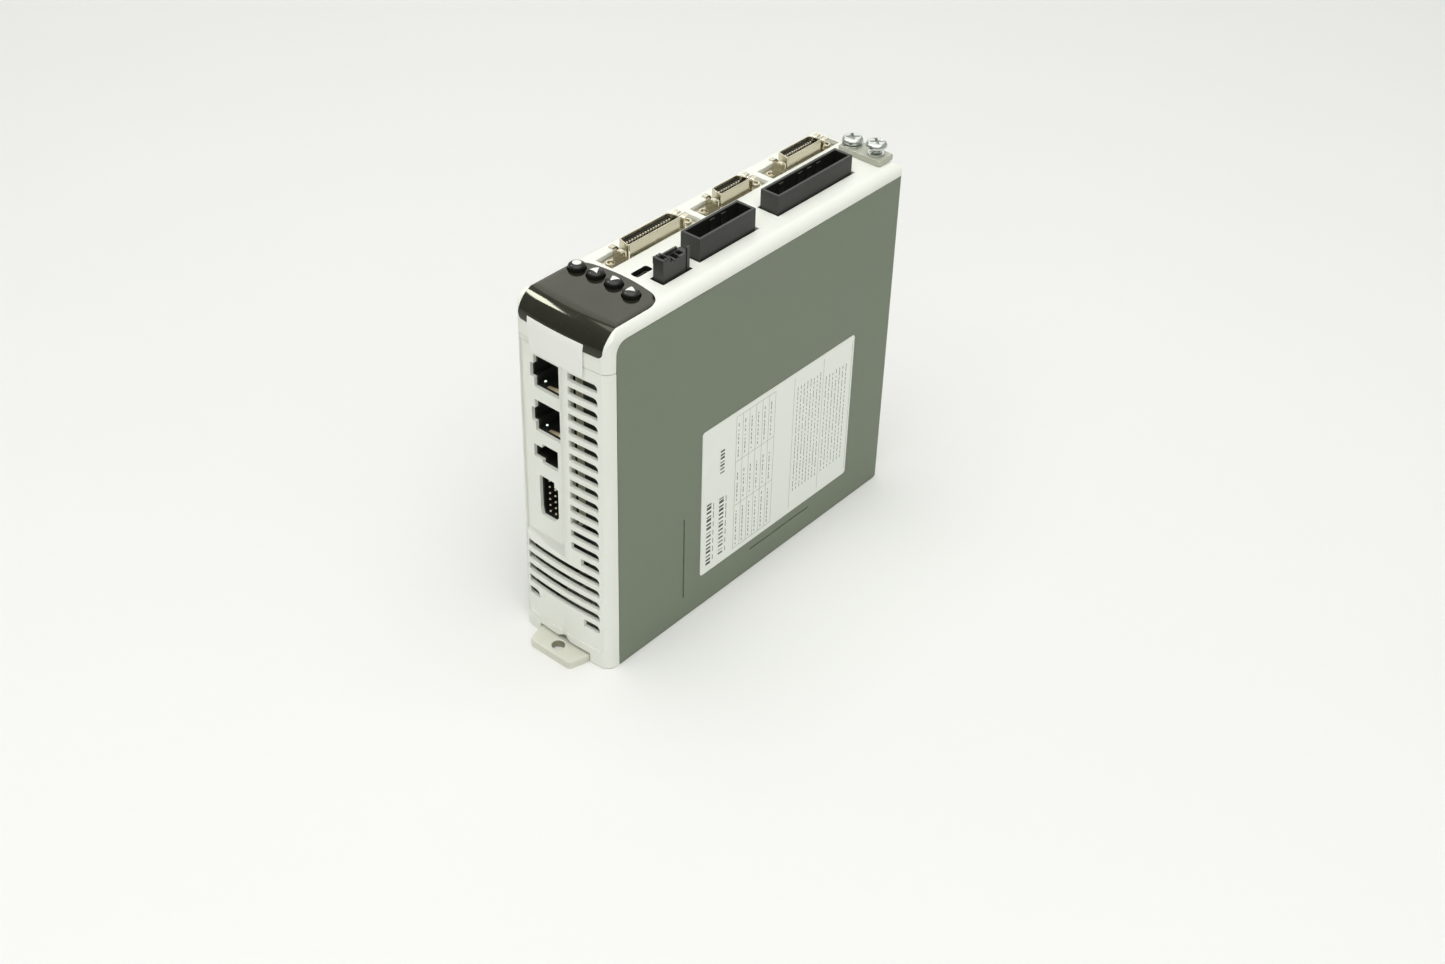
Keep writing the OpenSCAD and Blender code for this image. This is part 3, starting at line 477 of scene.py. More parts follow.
class Repeats(Library):
    """Geometry trees for what repeats or follows a path."""

    BLADES = "blade_row"
    PINS = "pin_grid"
    THREAD = "screw_thread"
    BARS = "bar_row"

    def grow(self, finish: Finish, **values: Value) -> Mesh:
        """Run the tree once and keep its result as a plain mesh.

        Args:
            finish: Finish of the repeated shape.
            **values: Inputs of the tree, with _ for a space in their names, and lengths in millimetres.

        Returns:
            The realised mesh.
        """
        tree = self.tree()
        given = {key.replace("_", " ").title(): value if key in PLAIN_INPUTS else metres(value)
                 for key, value in values.items()}
        given["Material"] = finish.material()
        host = placed(self.value, bpy.data.meshes.new(self.value))
        modifier = host.modifiers.new("repeat", "NODES")
        modifier.node_group = tree
        for item in tree.interface.items_tree:
            if item.in_out == "INPUT" and item.name in given:
                modifier[item.identifier] = given[item.name]
        mesh = evaluated(host)
        bpy.data.objects.remove(host)
        return mesh

    def _start(self, inputs: dict[str, Any], grid: bool = True) -> Graph:
        """Open a geometry group with its inputs, those of a grid, a material and one mesh out."""
        layout = {"Count": 1, "Rows": 1, **dict.fromkeys(("Start", "Step", "Row Step", "Turn"), (0, 0, 0))}
        return Graph.group(self.value, "GeometryNodeTree", {
            **(layout if grid else {}), **inputs, "Material": None}, {"Mesh": "Geometry"})

    def _end(self, g: Graph, mesh: Socket) -> Graph:
        """Realise what was placed, give it its material and end the tree.

        Args:
            g: Builder of the tree.
            mesh: What was placed.

        Returns:
            The builder.
        """
        real = g.out("GeometryNodeRealizeInstances", {0: mesh})
        dressed = g.out("GeometryNodeSetMaterial", {"Geometry": real, "Material": g.given["Material"]})
        g.feed(g.result["Mesh"], dressed)
        return g

    def _laid_out(self, g: Graph, shape: Socket, scale: Value = (1, 1, 1)) -> Graph:
        """Put a shape on a grid of points from the tree's layout inputs, and end the tree.

        Args:
            g: Builder of the tree.
            shape: The shape.
            scale: Its scale at each point.

        Returns:
            The builder.
        """
        count, index = g.given["Count"], g.out("GeometryNodeInputIndex")
        points = g.out("GeometryNodeMeshLine", {
            "Count": g.times(count, g.given["Rows"]), "Offset": (0, 0, 0)}, mode="OFFSET")
        along = g.scaled(g.given["Step"], g.math("MODULO", index, count))
        across = g.scaled(g.given["Row Step"], g.math("FLOOR", g.math("DIVIDE", index, count)))
        where = g.vectors("ADD", g.given["Start"], g.vectors("ADD", along, across)[0])[0]
        spots = g.out("GeometryNodeSetPosition", {"Geometry": points, "Position": where})
        turn = g.out("FunctionNodeEulerToRotation", {0: g.given["Turn"]})
        return self._end(g, g.out("GeometryNodeInstanceOnPoints", {
            "Points": spots, "Instance": shape, "Rotation": turn, "Scale": scale}))

    def _build_blades(self) -> Graph:
        """Build rows of sprung blades: each stands on its foot and curls towards a round bead at its tip.

        Returns:
            The builder of the group.
        """
        g = self._start({"Size": (0.0003, 0.0006, 0.004), "Curl": 0.0002, "Bead": 0.0002})
        curl, bead, size = g.given["Curl"], g.given["Bead"], g.split(g.given["Size"])
        cube = g.out("GeometryNodeMeshCube", {"Size": g.given["Size"], "Vertices Z": 7})
        height = g.split(g.out("GeometryNodeInputPosition"))["Z"]
        share = g.math("ADD", g.math("DIVIDE", height, size["Z"]), 0.5)
        offset = g.join(X=g.times(g.math("POWER", share, 3.0), curl), Z=g.times(size["Z"], 0.5))
        both = g.add("GeometryNodeJoinGeometry", {
            0: g.out("GeometryNodeSetPosition", {"Geometry": cube, "Offset": offset})})
        roll = g.out("GeometryNodeMeshCylinder", {
            "Vertices": 14, "Radius": bead, "Depth": g.times(size["Y"], 1.06)})
        tip = g.join(X=curl, Z=g.math("SUBTRACT", size["Z"], bead))
        g.feed(both.inputs[0], g.out("GeometryNodeTransform", {
            "Geometry": roll, "Translation": tip, "Rotation": (QUARTER, 0, 0)}))
        return self._laid_out(g, both.outputs[0])

    def _build_pins(self) -> Graph:
        """Build a grid of square pins with drawn-in tips.

        Returns:
            The builder of the group.
        """
        g = self._start({"Width": 0.00064, "Length": 0.006, "Tip": 0.0006})
        width, length = g.given["Width"], g.given["Length"]
        cube = g.out("GeometryNodeMeshCube", {"Size": g.join(X=width, Y=width, Z=1.0), "Vertices Z": 3})
        at = g.split(g.out("GeometryNodeInputPosition"))
        top = g.math("GREATER_THAN", at["Z"], 0.25)
        middle = g.math("LESS_THAN", g.math("ABSOLUTE", at["Z"]), 0.25)
        neck = g.times(middle, g.math("SUBTRACT", length, g.given["Tip"]))
        slim = g.math("SUBTRACT", 1.0, g.times(top, 0.55))
        spot = g.join(X=g.times(at["X"], slim), Y=g.times(at["Y"], slim),
                      Z=g.math("ADD", g.times(top, length), neck))
        return self._laid_out(g, g.out("GeometryNodeSetPosition", {"Geometry": cube, "Position": spot}))

    def _build_thread(self) -> Graph:
        """Build a thread ridge swept along a helix.

        Returns:
            The builder of the group.
        """
        g = self._start({"Start": (0, 0, 0), "Radius": 0.00165, "Pitch": 0.0007, "Turns": 8.0,
                         "Depth": 0.00035}, grid=False)
        radius, pitch, turns = (g.given[k] for k in ("Radius", "Pitch", "Turns"))
        helix = g.out("GeometryNodeCurveSpiral", {
            "Resolution": 28, "Rotations": turns, "Start Radius": radius, "End Radius": radius,
            "Height": g.times(pitch, turns), "Reverse": False})
        upright = g.out("GeometryNodeSetCurveNormal", {"Curve": helix}, mode="Z_UP")
        ridge = g.out("GeometryNodeCurvePrimitiveQuadrilateral", {
            "Bottom Width": g.times(pitch, 0.86), "Top Width": g.times(pitch, 0.14),
            "Height": g.times(g.given["Depth"], 2.0), "Offset": 0.0}, mode="TRAPEZOID")
        turned = g.out("GeometryNodeTransform", {"Geometry": ridge, "Rotation": (0, 0, QUARTER)})
        swept = g.out("GeometryNodeCurveToMesh", {
            "Curve": upright, "Profile Curve": turned, "Fill Caps": True})
        return self._end(g, g.out("GeometryNodeTransform", {
            "Geometry": swept, "Translation": g.given["Start"]}))

    def _build_bars(self) -> Graph:
        """Build rows of flat printed bars, whose lengths along Z may vary.

        Returns:
            The builder of the group.
        """
        g = self._start({"Size": (0.00002, 0.0007, 0.01), "Vary": 0.0, "Seed": 3})
        cube = g.out("GeometryNodeMeshCube", {"Size": g.given["Size"]})
        lift = g.join(Z=g.split(g.scaled(g.given["Size"], 0.5))["Z"])
        bar = g.out("GeometryNodeTransform", {"Geometry": cube, "Translation": lift})
        share = g.add("FunctionNodeRandomValue", {
            "Min": 0.0, "Max": 1.0, "Seed": g.given["Seed"]}, data_type="FLOAT").outputs[1]
        length = g.math("SUBTRACT", 1.0, g.times(share, g.given["Vary"]))
        return self._laid_out(g, bar, g.join(X=1.0, Y=1.0, Z=length))


@dataclass(frozen=True)
class NoseForm:
    """Outer form of the white mouldings: bowed end, nose, front face and their rounded edges."""

    bow_r: float = 160.0
    bow_y: float = 83.3
    lean: float = 1.0
    nose_r: float = 9.0
    nose_z: float = 127.0
    half_w: float = 20.5
    edge_r: float = 4.0
    height: float = 136.0
    fit: float = 0.03
    face_fit: float = 0.02
    slack: float = 0.01
    least_likeness: float = 0.97

    def normal(self, point: Vector, facing: Vector) -> Optional[Vector]:
        """Return the true normal of the form at a point on it.

        Args:
            point: The point in millimetres.
            facing: Normal of the flat face that the point belongs to.

        Returns:
            The normal, or None where the point or its face isn't on the form.
        """
        arm = Vector((point.x, point.y - self.bow_y, 0))
        reach, out = arm.length, arm.normalized()
        slope = self.lean / self.nose_z
        ring = Vector((reach - (self.bow_r - self.lean - self.nose_r), point.z - self.nose_z))
        side = math.copysign(self.half_w - self.edge_r, point.x)
        edge = Vector((point.x - side, 0, point.z - self.height + self.edge_r))
        found = []
        if abs(point.z - self.height) < self.face_fit:
            found.append(UP)
        if min(ring) > -self.slack and abs(ring.length - self.nose_r) < self.fit:
            found.append((out * ring.x + UP * ring.y).normalized())
        if ring.y < self.slack and abs(reach - self.bow_r + point.z * slope) < self.fit:
            found.append((out + UP * slope).normalized())
        if min(edge.z, edge.x * side) > -self.slack and abs(edge.length - self.edge_r) < self.fit:
            found.append(edge.normalized())
        best = max(found, key=facing.dot, default=None)
        return best if best is not None and best.dot(facing) > self.least_likeness else None

    def spot(self, x: float, run: float, start: float) -> Spot:
        """Follow the form upwards from a height on the bowed end.

        Args:
            x: Place across the end.
            run: Way along the surface.
            start: Height at which the way starts, below the nose.

        Returns:
            The point and the outward normal.
        """
        angle = max(run - self.nose_z + start, 0.0) / self.nose_r
        if angle > 0:
            radius = self.bow_r - self.lean - self.nose_r + self.nose_r * math.cos(angle)
            z = self.nose_z + self.nose_r * math.sin(angle)
        else:
            z = start + run
            radius = self.bow_r - self.lean * z / self.nose_z
        y = self.bow_y - math.sqrt(radius * radius - x * x)
        level = Vector((x, y - self.bow_y, 0)) / radius
        return Vector((x, y, z)), level * math.cos(angle) + UP * math.sin(angle)


class Bench:
    """Makes, finishes and hands over meshes.

    Its own limits are in metres and radians. A triangle's lean is the cosine of its angle to its face, with
    one least value for large faces and one for small ones.
    """

    WELD = 1e-6
    SLIVER = 2e-6
    SMALL_AREA = 1e-6
    FLAT = math.radians(0.4)
    LEAST_EDGE = math.radians(32)
    CREASE = math.radians(38)
    SEGMENTS = 2
    TRIES = 12
    CLEAR_WIDTHS = 3
    LARGE_LEAN = 0.99
    SMALL_LEAN = 0.5

    @classmethod
    def copied(cls, node: str, size: float, finish: Finish, body: str = "drive",
               form: Optional[NoseForm] = None, reshape: Optional[Reshape] = None) -> Object:
        """Copy a CAD node as a dressed piece, with whole flat faces and broken edges.

        Args:
            node: Name of the CAD node.
            size: Width of the edge rounding in millimetres.
            finish: Finish of the piece.
            body: Name of the body that it rides on.
            form: The form whose true normals it takes, where it lies on one.
            reshape: Gives the new place of a corner, in millimetres.

        Returns:
            The piece.
        """
        bm = bmesh.new()
        bm.from_mesh(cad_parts[node].data)
        bmesh.ops.remove_doubles(bm, verts=bm.verts, dist=2 * cls.WELD)
        bmesh.ops.dissolve_degenerate(bm, edges=bm.edges, dist=cls.WELD)
        bmesh.ops.dissolve_limit(bm, angle_limit=cls.FLAT, verts=bm.verts, edges=bm.edges)
        if reshape is not None:
            for vert in bm.verts:
                vert.co = reshape(vert.co / MM) * MM
        cls.break_edges(bm, size)
        return cls.hand_over(cls.finished(bm, node + "_piece", form), finish, node, body=body)

    @classmethod
    def break_edges(cls, bm: BMesh, size: float) -> None:
        """Round the outer edges of a mesh, apart from those whose rounding would fold a face.

        Args:
            bm: The mesh.
            size: Width of the rounding in millimetres.
        """
        bm.edges.index_update()
        bm.edges.ensure_lookup_table()
        picked = {e.index for e in bm.edges if len(e.link_faces) == 2 and e.is_convex
                  and e.calc_face_angle(0.0) > cls.LEAST_EDGE}
        for _ in range(cls.TRIES):
            trial = bm.copy()
            cls._round_over(trial, picked, size)
            folds = cls._folds(trial)
            trial.free()
            if not folds:
                break
            tree = KDTree(len(folds))
            for k, point in enumerate(folds):
                tree.insert(point, k)
            tree.balance()
            clear = cls.CLEAR_WIDTHS * size * MM
            picked = {k for k in picked if all(tree.find(v.co)[2] > clear for v in bm.edges[k].verts)}
        cls._round_over(bm, picked, size)

    @classmethod
    def _round_over(cls, bm: BMesh, picked: set[int], size: float) -> None:
        """Round the edges with the picked numbers.

        Args:
            bm: The mesh.
            picked: Numbers of the edges.
            size: Width of the rounding in millimetres.
        """
        bm.edges.ensure_lookup_table()
        bmesh.ops.bevel(bm, geom=[bm.edges[k] for k in picked], offset=size * MM, offset_type="OFFSET",
                        segments=cls.SEGMENTS, profile=0.5, affect="EDGES", clamp_overlap=False,
                        loop_slide=True, material=-1)
        bmesh.ops.remove_doubles(bm, verts=bm.verts, dist=cls.WELD)
        bm.normal_update()

    @classmethod
    def _folds(cls, bm: BMesh) -> list[Vector]:
        """Find the corners of triangles that lean away from the face that they belong to.

        Args:
            bm: The mesh.

        Returns:
            The corners.
        """
        points = []
        for corners in bm.calc_loop_triangles():
            a, b, c = (k.vert.co for k in corners)
            face = corners[0].face
            normal = (b - a).cross(c - a)
            height = normal.length / max((b - a).length, (c - b).length, (a - c).length, 1e-9)
            least = cls.LARGE_LEAN if face.calc_area() > cls.SMALL_AREA else cls.SMALL_LEAN
            if height > cls.SLIVER and normal.normalized().dot(face.normal) < least:
                points += [a.copy(), b.copy(), c.copy()]
        return points

    @classmethod
    def _creased(cls, bm: BMesh, name: str) -> Object:
        """Turn a worked mesh into a smooth object with sharp creases.

        Args:
            bm: The mesh; it is freed.
            name: Name of the object.

        Returns:
            The object, at the origin.
        """
        mesh = bpy.data.meshes.new(name)
        for face in bm.faces:
            face.smooth, face.material_index = True, 0
        bm.to_mesh(mesh)
        bm.free()
        mesh.set_sharp_from_angle(angle=cls.CREASE)
        return placed(name, mesh)

    @classmethod
    def finished(cls, bm: BMesh, name: str, form: Optional[NoseForm] = None) -> Object:
        """Turn a worked mesh into an object with clean shading.

        Args:
            bm: The mesh; it is freed.
            name: Name of the piece.
            form: The form whose true normals it takes, where it lies on one.

        Returns:
            The object, at the origin.
        """
        piece = cls._creased(bm, name)
        weighted = piece.modifiers.new("even_normals", "WEIGHTED_NORMAL")
        weighted.keep_sharp = True
        first, mesh = piece.data, evaluated(piece)
        piece.modifiers.remove(weighted)
        piece.data = mesh
        bpy.data.meshes.remove(first)
        mesh.name = name
        if form is not None:
            normals = [n.vector.copy() for n in mesh.corner_normals]
            for face in mesh.polygons:
                for k in face.loop_indices:
                    point = mesh.vertices[mesh.loops[k].vertex_index].co / MM
                    normals[k] = form.normal(point, face.normal) or normals[k]
            mesh.normals_split_custom_set(normals)
        return piece

    @classmethod
    def blocks(cls, name: str, spans: Iterable[tuple[Triple, Triple]], edge: float) -> Object:
        """Make a piece of several blocks with broken edges.

        Args:
            name: Name of the piece.
            spans: Lowest and highest corner of each block in millimetres.
            edge: Width of the edge rounding in millimetres.

        Returns:
            The piece.
        """
        bm = bmesh.new()
        for low, high in spans:
            middle = Matrix.Translation(metres((a + b) / 2 for a, b in zip(low, high)))
            size = Matrix.Diagonal((*metres(b - a for a, b in zip(low, high)), 1.0))
            bmesh.ops.create_cube(bm, size=1.0, matrix=middle @ size)
        cls.break_edges(bm, edge)
        return cls.finished(bm, name)

    @classmethod
    def lathe(cls, name: str, profile: Sequence[Pair], centre: Sequence[float], steps: int = 48) -> Object:
        """Turn a profile about an upright axis.

        Args:
            name: Name of the piece.
            profile: Radius and height of each point, from the axis to the axis, in millimetres.
            centre: Foot of the axis in millimetres.
            steps: Number of steps round.

        Returns:
            The piece.
        """
        bm = bmesh.new()
        x, y, z = centre
        rings = []
        for radius, height in profile:
            turns = [2 * math.pi * k / steps for k in range(steps if radius else 1)]
            ring = [(x + radius * math.cos(t), y + radius * math.sin(t), z + height) for t in turns]
            rings.append([bm.verts.new(metres(point)) for point in ring])
        for (low, high), k in product(zip(rings, rings[1:]), range(steps)):
            a, b = k, k + 1
            corners = list(dict.fromkeys((
                low[a % len(low)], low[b % len(low)], high[b % len(high)], high[a % len(high)])))
            if len(corners) > 2:
                bm.faces.new(corners)
        bmesh.ops.recalc_face_normals(bm, faces=bm.faces)
        return cls.finished(bm, name)

    @classmethod
    def sheet(cls, name: str, spot: Callable[[float, float], Spot], steps: tuple[int, int],
              thickness: float) -> Object:
        """Lay a thin sheet over a surface.

        Args:
            name: Name of the piece.
            spot: Gives the point and the outward normal, in millimetres, at two shares from 0 to 1.
            steps: Number of steps each way.
            thickness: Thickness of the sheet in millimetres.

        Returns:
            The piece, closed along its edges.
        """
        bm = bmesh.new()
        nu, nv = steps
        layers = []
        for lift in (0.0, thickness):
            layer = {}
            for i, j in product(range(nu + 1), range(nv + 1)):
                point, normal = spot(i / nu, j / nv)
                layer[i, j] = bm.verts.new(metres(point + normal * lift))
            layers.append(layer)
        for layer, i, j in product(layers, range(nu), range(nv)):
            bm.faces.new([layer[i, j], layer[i + 1, j], layer[i + 1, j + 1], layer[i, j + 1]])
        rim = ([(i, 0) for i in range(nu)] + [(nu, j) for j in range(nv)]
               + [(i, nv) for i in range(nu, 0, -1)] + [(0, j) for j in range(nv, 0, -1)])
        under, over = layers
        for a, b in zip(rim, rim[1:] + rim[:1]):
            bm.faces.new([under[a], under[b], over[b], over[a]])
        bmesh.ops.remove_doubles(bm, verts=bm.verts, dist=2 * cls.WELD)
        bmesh.ops.recalc_face_normals(bm, faces=bm.faces)
        return cls.finished(bm, name)

    @classmethod
    def joined(cls, name: str, *meshes: Mesh) -> Object:
        """Join meshes into one piece.

        Args:
            name: Name of the piece.
            *meshes: The meshes; they are removed.

        Returns:
            The piece.
        """
        bm = bmesh.new()
        for mesh in meshes:
            bm.from_mesh(mesh)
            bpy.data.meshes.remove(mesh)
        return cls._creased(bm, name)

    @staticmethod
    def hand_over(piece: Object, finish: Finish, *nodes: str, body: str = "drive") -> Object:
        """Dress a piece, set it on its body and report it.

        Args:
            piece: The piece.
            finish: Its finish.
            *nodes: CAD nodes that it stands for.
            body: Name of the body that it rides on.

        Returns:
            The piece.
        """
        piece.data.materials.clear()
        piece.data.materials.append(finish.material())
        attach(piece, body)
        if nodes:
            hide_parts(*nodes)
        LOG.info("%s: %d faces on %s, %s", piece.name, len(piece.data.polygons), body, finish.name)
        return piece

    @staticmethod
    def paint(piece: Object, finish: Finish, where: Test) -> None:
        """Give some faces of a piece a finish of their own.

        Args:
            piece: The piece, already dressed.
            finish: The finish of those faces.
            where: Picks a face by its middle in millimetres and its normal.
        """
        piece.data.materials.append(finish.material())
        for face in piece.data.polygons:
            if where(face.center / MM, face.normal):
                face.material_index = len(piece.data.materials) - 1

    @staticmethod
    def dress(finish: Finish, *nodes: str) -> None:
        """Give carried-over CAD nodes their finish.

        Args:
            finish: The finish.
            *nodes: Names of the nodes.
        """
        for node in nodes:
            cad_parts[node].material_slots[0].material = finish.material()
            LOG.info("%s: carried over, %s", node, finish.name)


@dataclass(frozen=True)
class PrintRows:
    """Rows of bars on the label; a row runs up the label and the rows lie side by side.

    The start is the first bar's foot, from the print's origin on the label's middle line. The size is a bar's
    width and length, and vary is the share by which the lengths differ.
    """

    count: int
    rows: int
    start: Pair
    step: float
    row_step: float
    size: Pair
    vary: float = 0.0
    seed: int = 1

    def grow(self, origin: Triple, depth: float) -> Mesh:
        """Print the rows from the print's origin, to a depth."""
        start = (origin[0], origin[1] + self.start[0], origin[2] + self.start[1])
        return Repeats.BARS.grow(
            Finishes.INK, count=self.count, rows=self.rows, start=start, step=(0, 0, self.step),
            row_step=(0, self.row_step, 0), size=(depth, *self.size), vary=self.vary, seed=self.seed)


@dataclass
class Housing:
    """Chassis, covers, side panels and rating label."""

    form: NoseForm = NoseForm()
    cover_edge: float = 0.20
    slot_edge: float = 0.12
    panel_edge: float = 0.14
    cast_edge: float = 0.45
    print_origin: Triple = (20.504, 12.9, 15.8)
    print_depth: float = 0.016
    hole_y: float = 79.6
    hole_r: float = 2.7
    hole_wall: float = 0.9
    rib_x: Pair = (1.6, 2.2)
    gap_x: Pair = (0.2, 2.1)
    gap_y: Pair = (-70.2, -69.4)
    gap_facing: float = 0.6
    recess_x: Pair = (-18.6, 2.0)
    recess_floor: float = -73.8
    ramp_run: Pair = (-0.02, 2.4)
    ramp_top: float = 48.5
    ramp_slope: float = 5.2 / 2.7
    ramp_fit: float = 0.03
    backing_run: Pair = (-1.6, 0.9)
    backing_foot: float = 43.5
    backing_fit: float = 0.01
    ledge_top: float = 43.0
    ledge_slope: float = 1.13
    ledge_backing: float = 40.7
    cut_out_rim: float = 135.9
    cut_outs: tuple[tuple[float, float, float, float], ...] = (
        (0.2, 3.8, -42.8, -35.0), (6.7, 12.8, -40.6, -26.3), (2.4, 12.3, -22.6, 6.9), (2.4, 11.9, 17.6, 59.2))
    form_print: tuple[PrintRows, ...] = (
        PrintRows(1, 7, (-24.0, 0), 0, 3.5, (0.14, 57.8)),
        PrintRows(4, 1, (-13.5, 0), 19.22, 0, (21.0, 0.14)),
        PrintRows(1, 3, (7.6, 0), 0, 16.6, (0.14, 57.8)),
        PrintRows(9, 6, (-22.7, 1.2), 1.85, 3.5, (0.42, 1.7), 0.7, 4),
        PrintRows(7, 6, (-22.7, 21.0), 1.85, 3.5, (0.42, 1.7), 0.7, 7),
        PrintRows(8, 6, (-22.7, 40.2), 1.85, 3.5, (0.42, 1.7), 0.7, 8),
        PrintRows(25, 8, (9.6, 7.0), 1.85, 1.85, (0.34, 1.75), 0.5, 9),
        PrintRows(22, 7, (26.0, 7.0), 1.95, 1.95, (0.34, 1.85), 0.5, 12),
        PrintRows(7, 2, (-35.2, 2.0), 3.7, 6.7, (0.34, 3.3), 0.4, 3))
    bar_print: tuple[PrintRows, ...] = (
        PrintRows(16, 1, (-37.6, 1.0), 1.75, 0, (2.4, 1.35), 0.8, 2),
        PrintRows(15, 1, (-31.0, 2.0), 1.75, 0, (2.4, 1.35), 0.8, 5),
        PrintRows(7, 1, (-31.0, 37.9), 1.5, 0, (2.2, 1.0), 0.7, 6))

    def build(self) -> None:
        """Make the mouldings and the label's print."""
        chassis = Bench.copied("chassis", self.cast_edge, Finishes.CAST)
        # Painted shade on the walls of the tab's holes.
        Bench.paint(chassis, Finishes.BORE_SHADE, lambda m, n: (
            abs(n.z) < self.hole_wall and math.hypot(m.x, abs(m.y) - self.hole_y) < self.hole_r))
        front = Bench.copied("front_cover", self.cover_edge, Finishes.WHITE, form=self.form)
        # Painted shade: the white walls of the cut-outs round the black connectors are painted black.
        Bench.paint(front, Finishes.PORT_AND_SHADE, self._lines_cut_out)
        end = Bench.copied("near_end_cover", self.slot_edge, Finishes.WHITE, form=self.form,
                           reshape=self._lowered_ledge)
        # Painted shade: the rib faces seen through the slots take an olive tint.
        Bench.paint(end, Finishes.SHADE, lambda m, n: n.x > FACING and self._within(m.x, self.rib_x))
        # Painted shade: the front of the second rib is painted black, so the gap between the ribs reads dark.
        Bench.paint(end, Finishes.PORT_AND_SHADE, lambda m, n: (
            n.y < -self.gap_facing and self._within(m.x, self.gap_x) and self._within(m.y, self.gap_y)))
        Bench.copied("far_end_cover", self.slot_edge, Finishes.WHITE)
        for side in ("right", "left"):
            Bench.copied(side + "_side_panel", self.panel_edge, Finishes.GREY)
        Bench.dress(Finishes.LABEL, "rating_label")
        for name, finish, rows in (("label_print", Finishes.INK, self.form_print),
                                   ("label_bars", Finishes.BARS, self.bar_print)):
            meshes = [row.grow(self.print_origin, self.print_depth) for row in rows]
            Bench.hand_over(Bench.joined(name, *meshes), finish)

    @staticmethod
    def _within(value: float, limits: Pair) -> bool:
        """Tell whether a value lies between two limits."""
        return limits[0] < value < limits[1]

    def _lowered_ledge(self, corner: Vector) -> Vector:
        """Draw the foot of the jack recess down to a flatter ledge.

        Args:
            corner: A corner of the end cover.

        Returns:
            Its new place.
        """
        x, y, z = corner
        out = self.recess_floor - y
        if self._within(x, self.recess_x):
            ramp = self.ramp_top - self.ramp_slope * out
            if self._within(out, self.ramp_run) and abs(z - ramp) < self.ramp_fit:
                z = self.ledge_top - self.ledge_slope * out
            elif self._within(out, self.backing_run) and abs(z - self.backing_foot) < self.backing_fit:
                z = self.ledge_backing
        return Vector((x, y, z))

    def _lines_cut_out(self, middle: Vector, normal: Vector) -> bool:
        """Tell whether a face of the front cover lines the cut-out of a black connector. Such walls are
        painted black as painted shade.
        """
        inside = any(x0 < middle.x < x1 and y0 < middle.y < y1 for x0, x1, y0, y1 in self.cut_outs)
        return inside and abs(normal.z) < FACING and middle.z < self.cut_out_rim


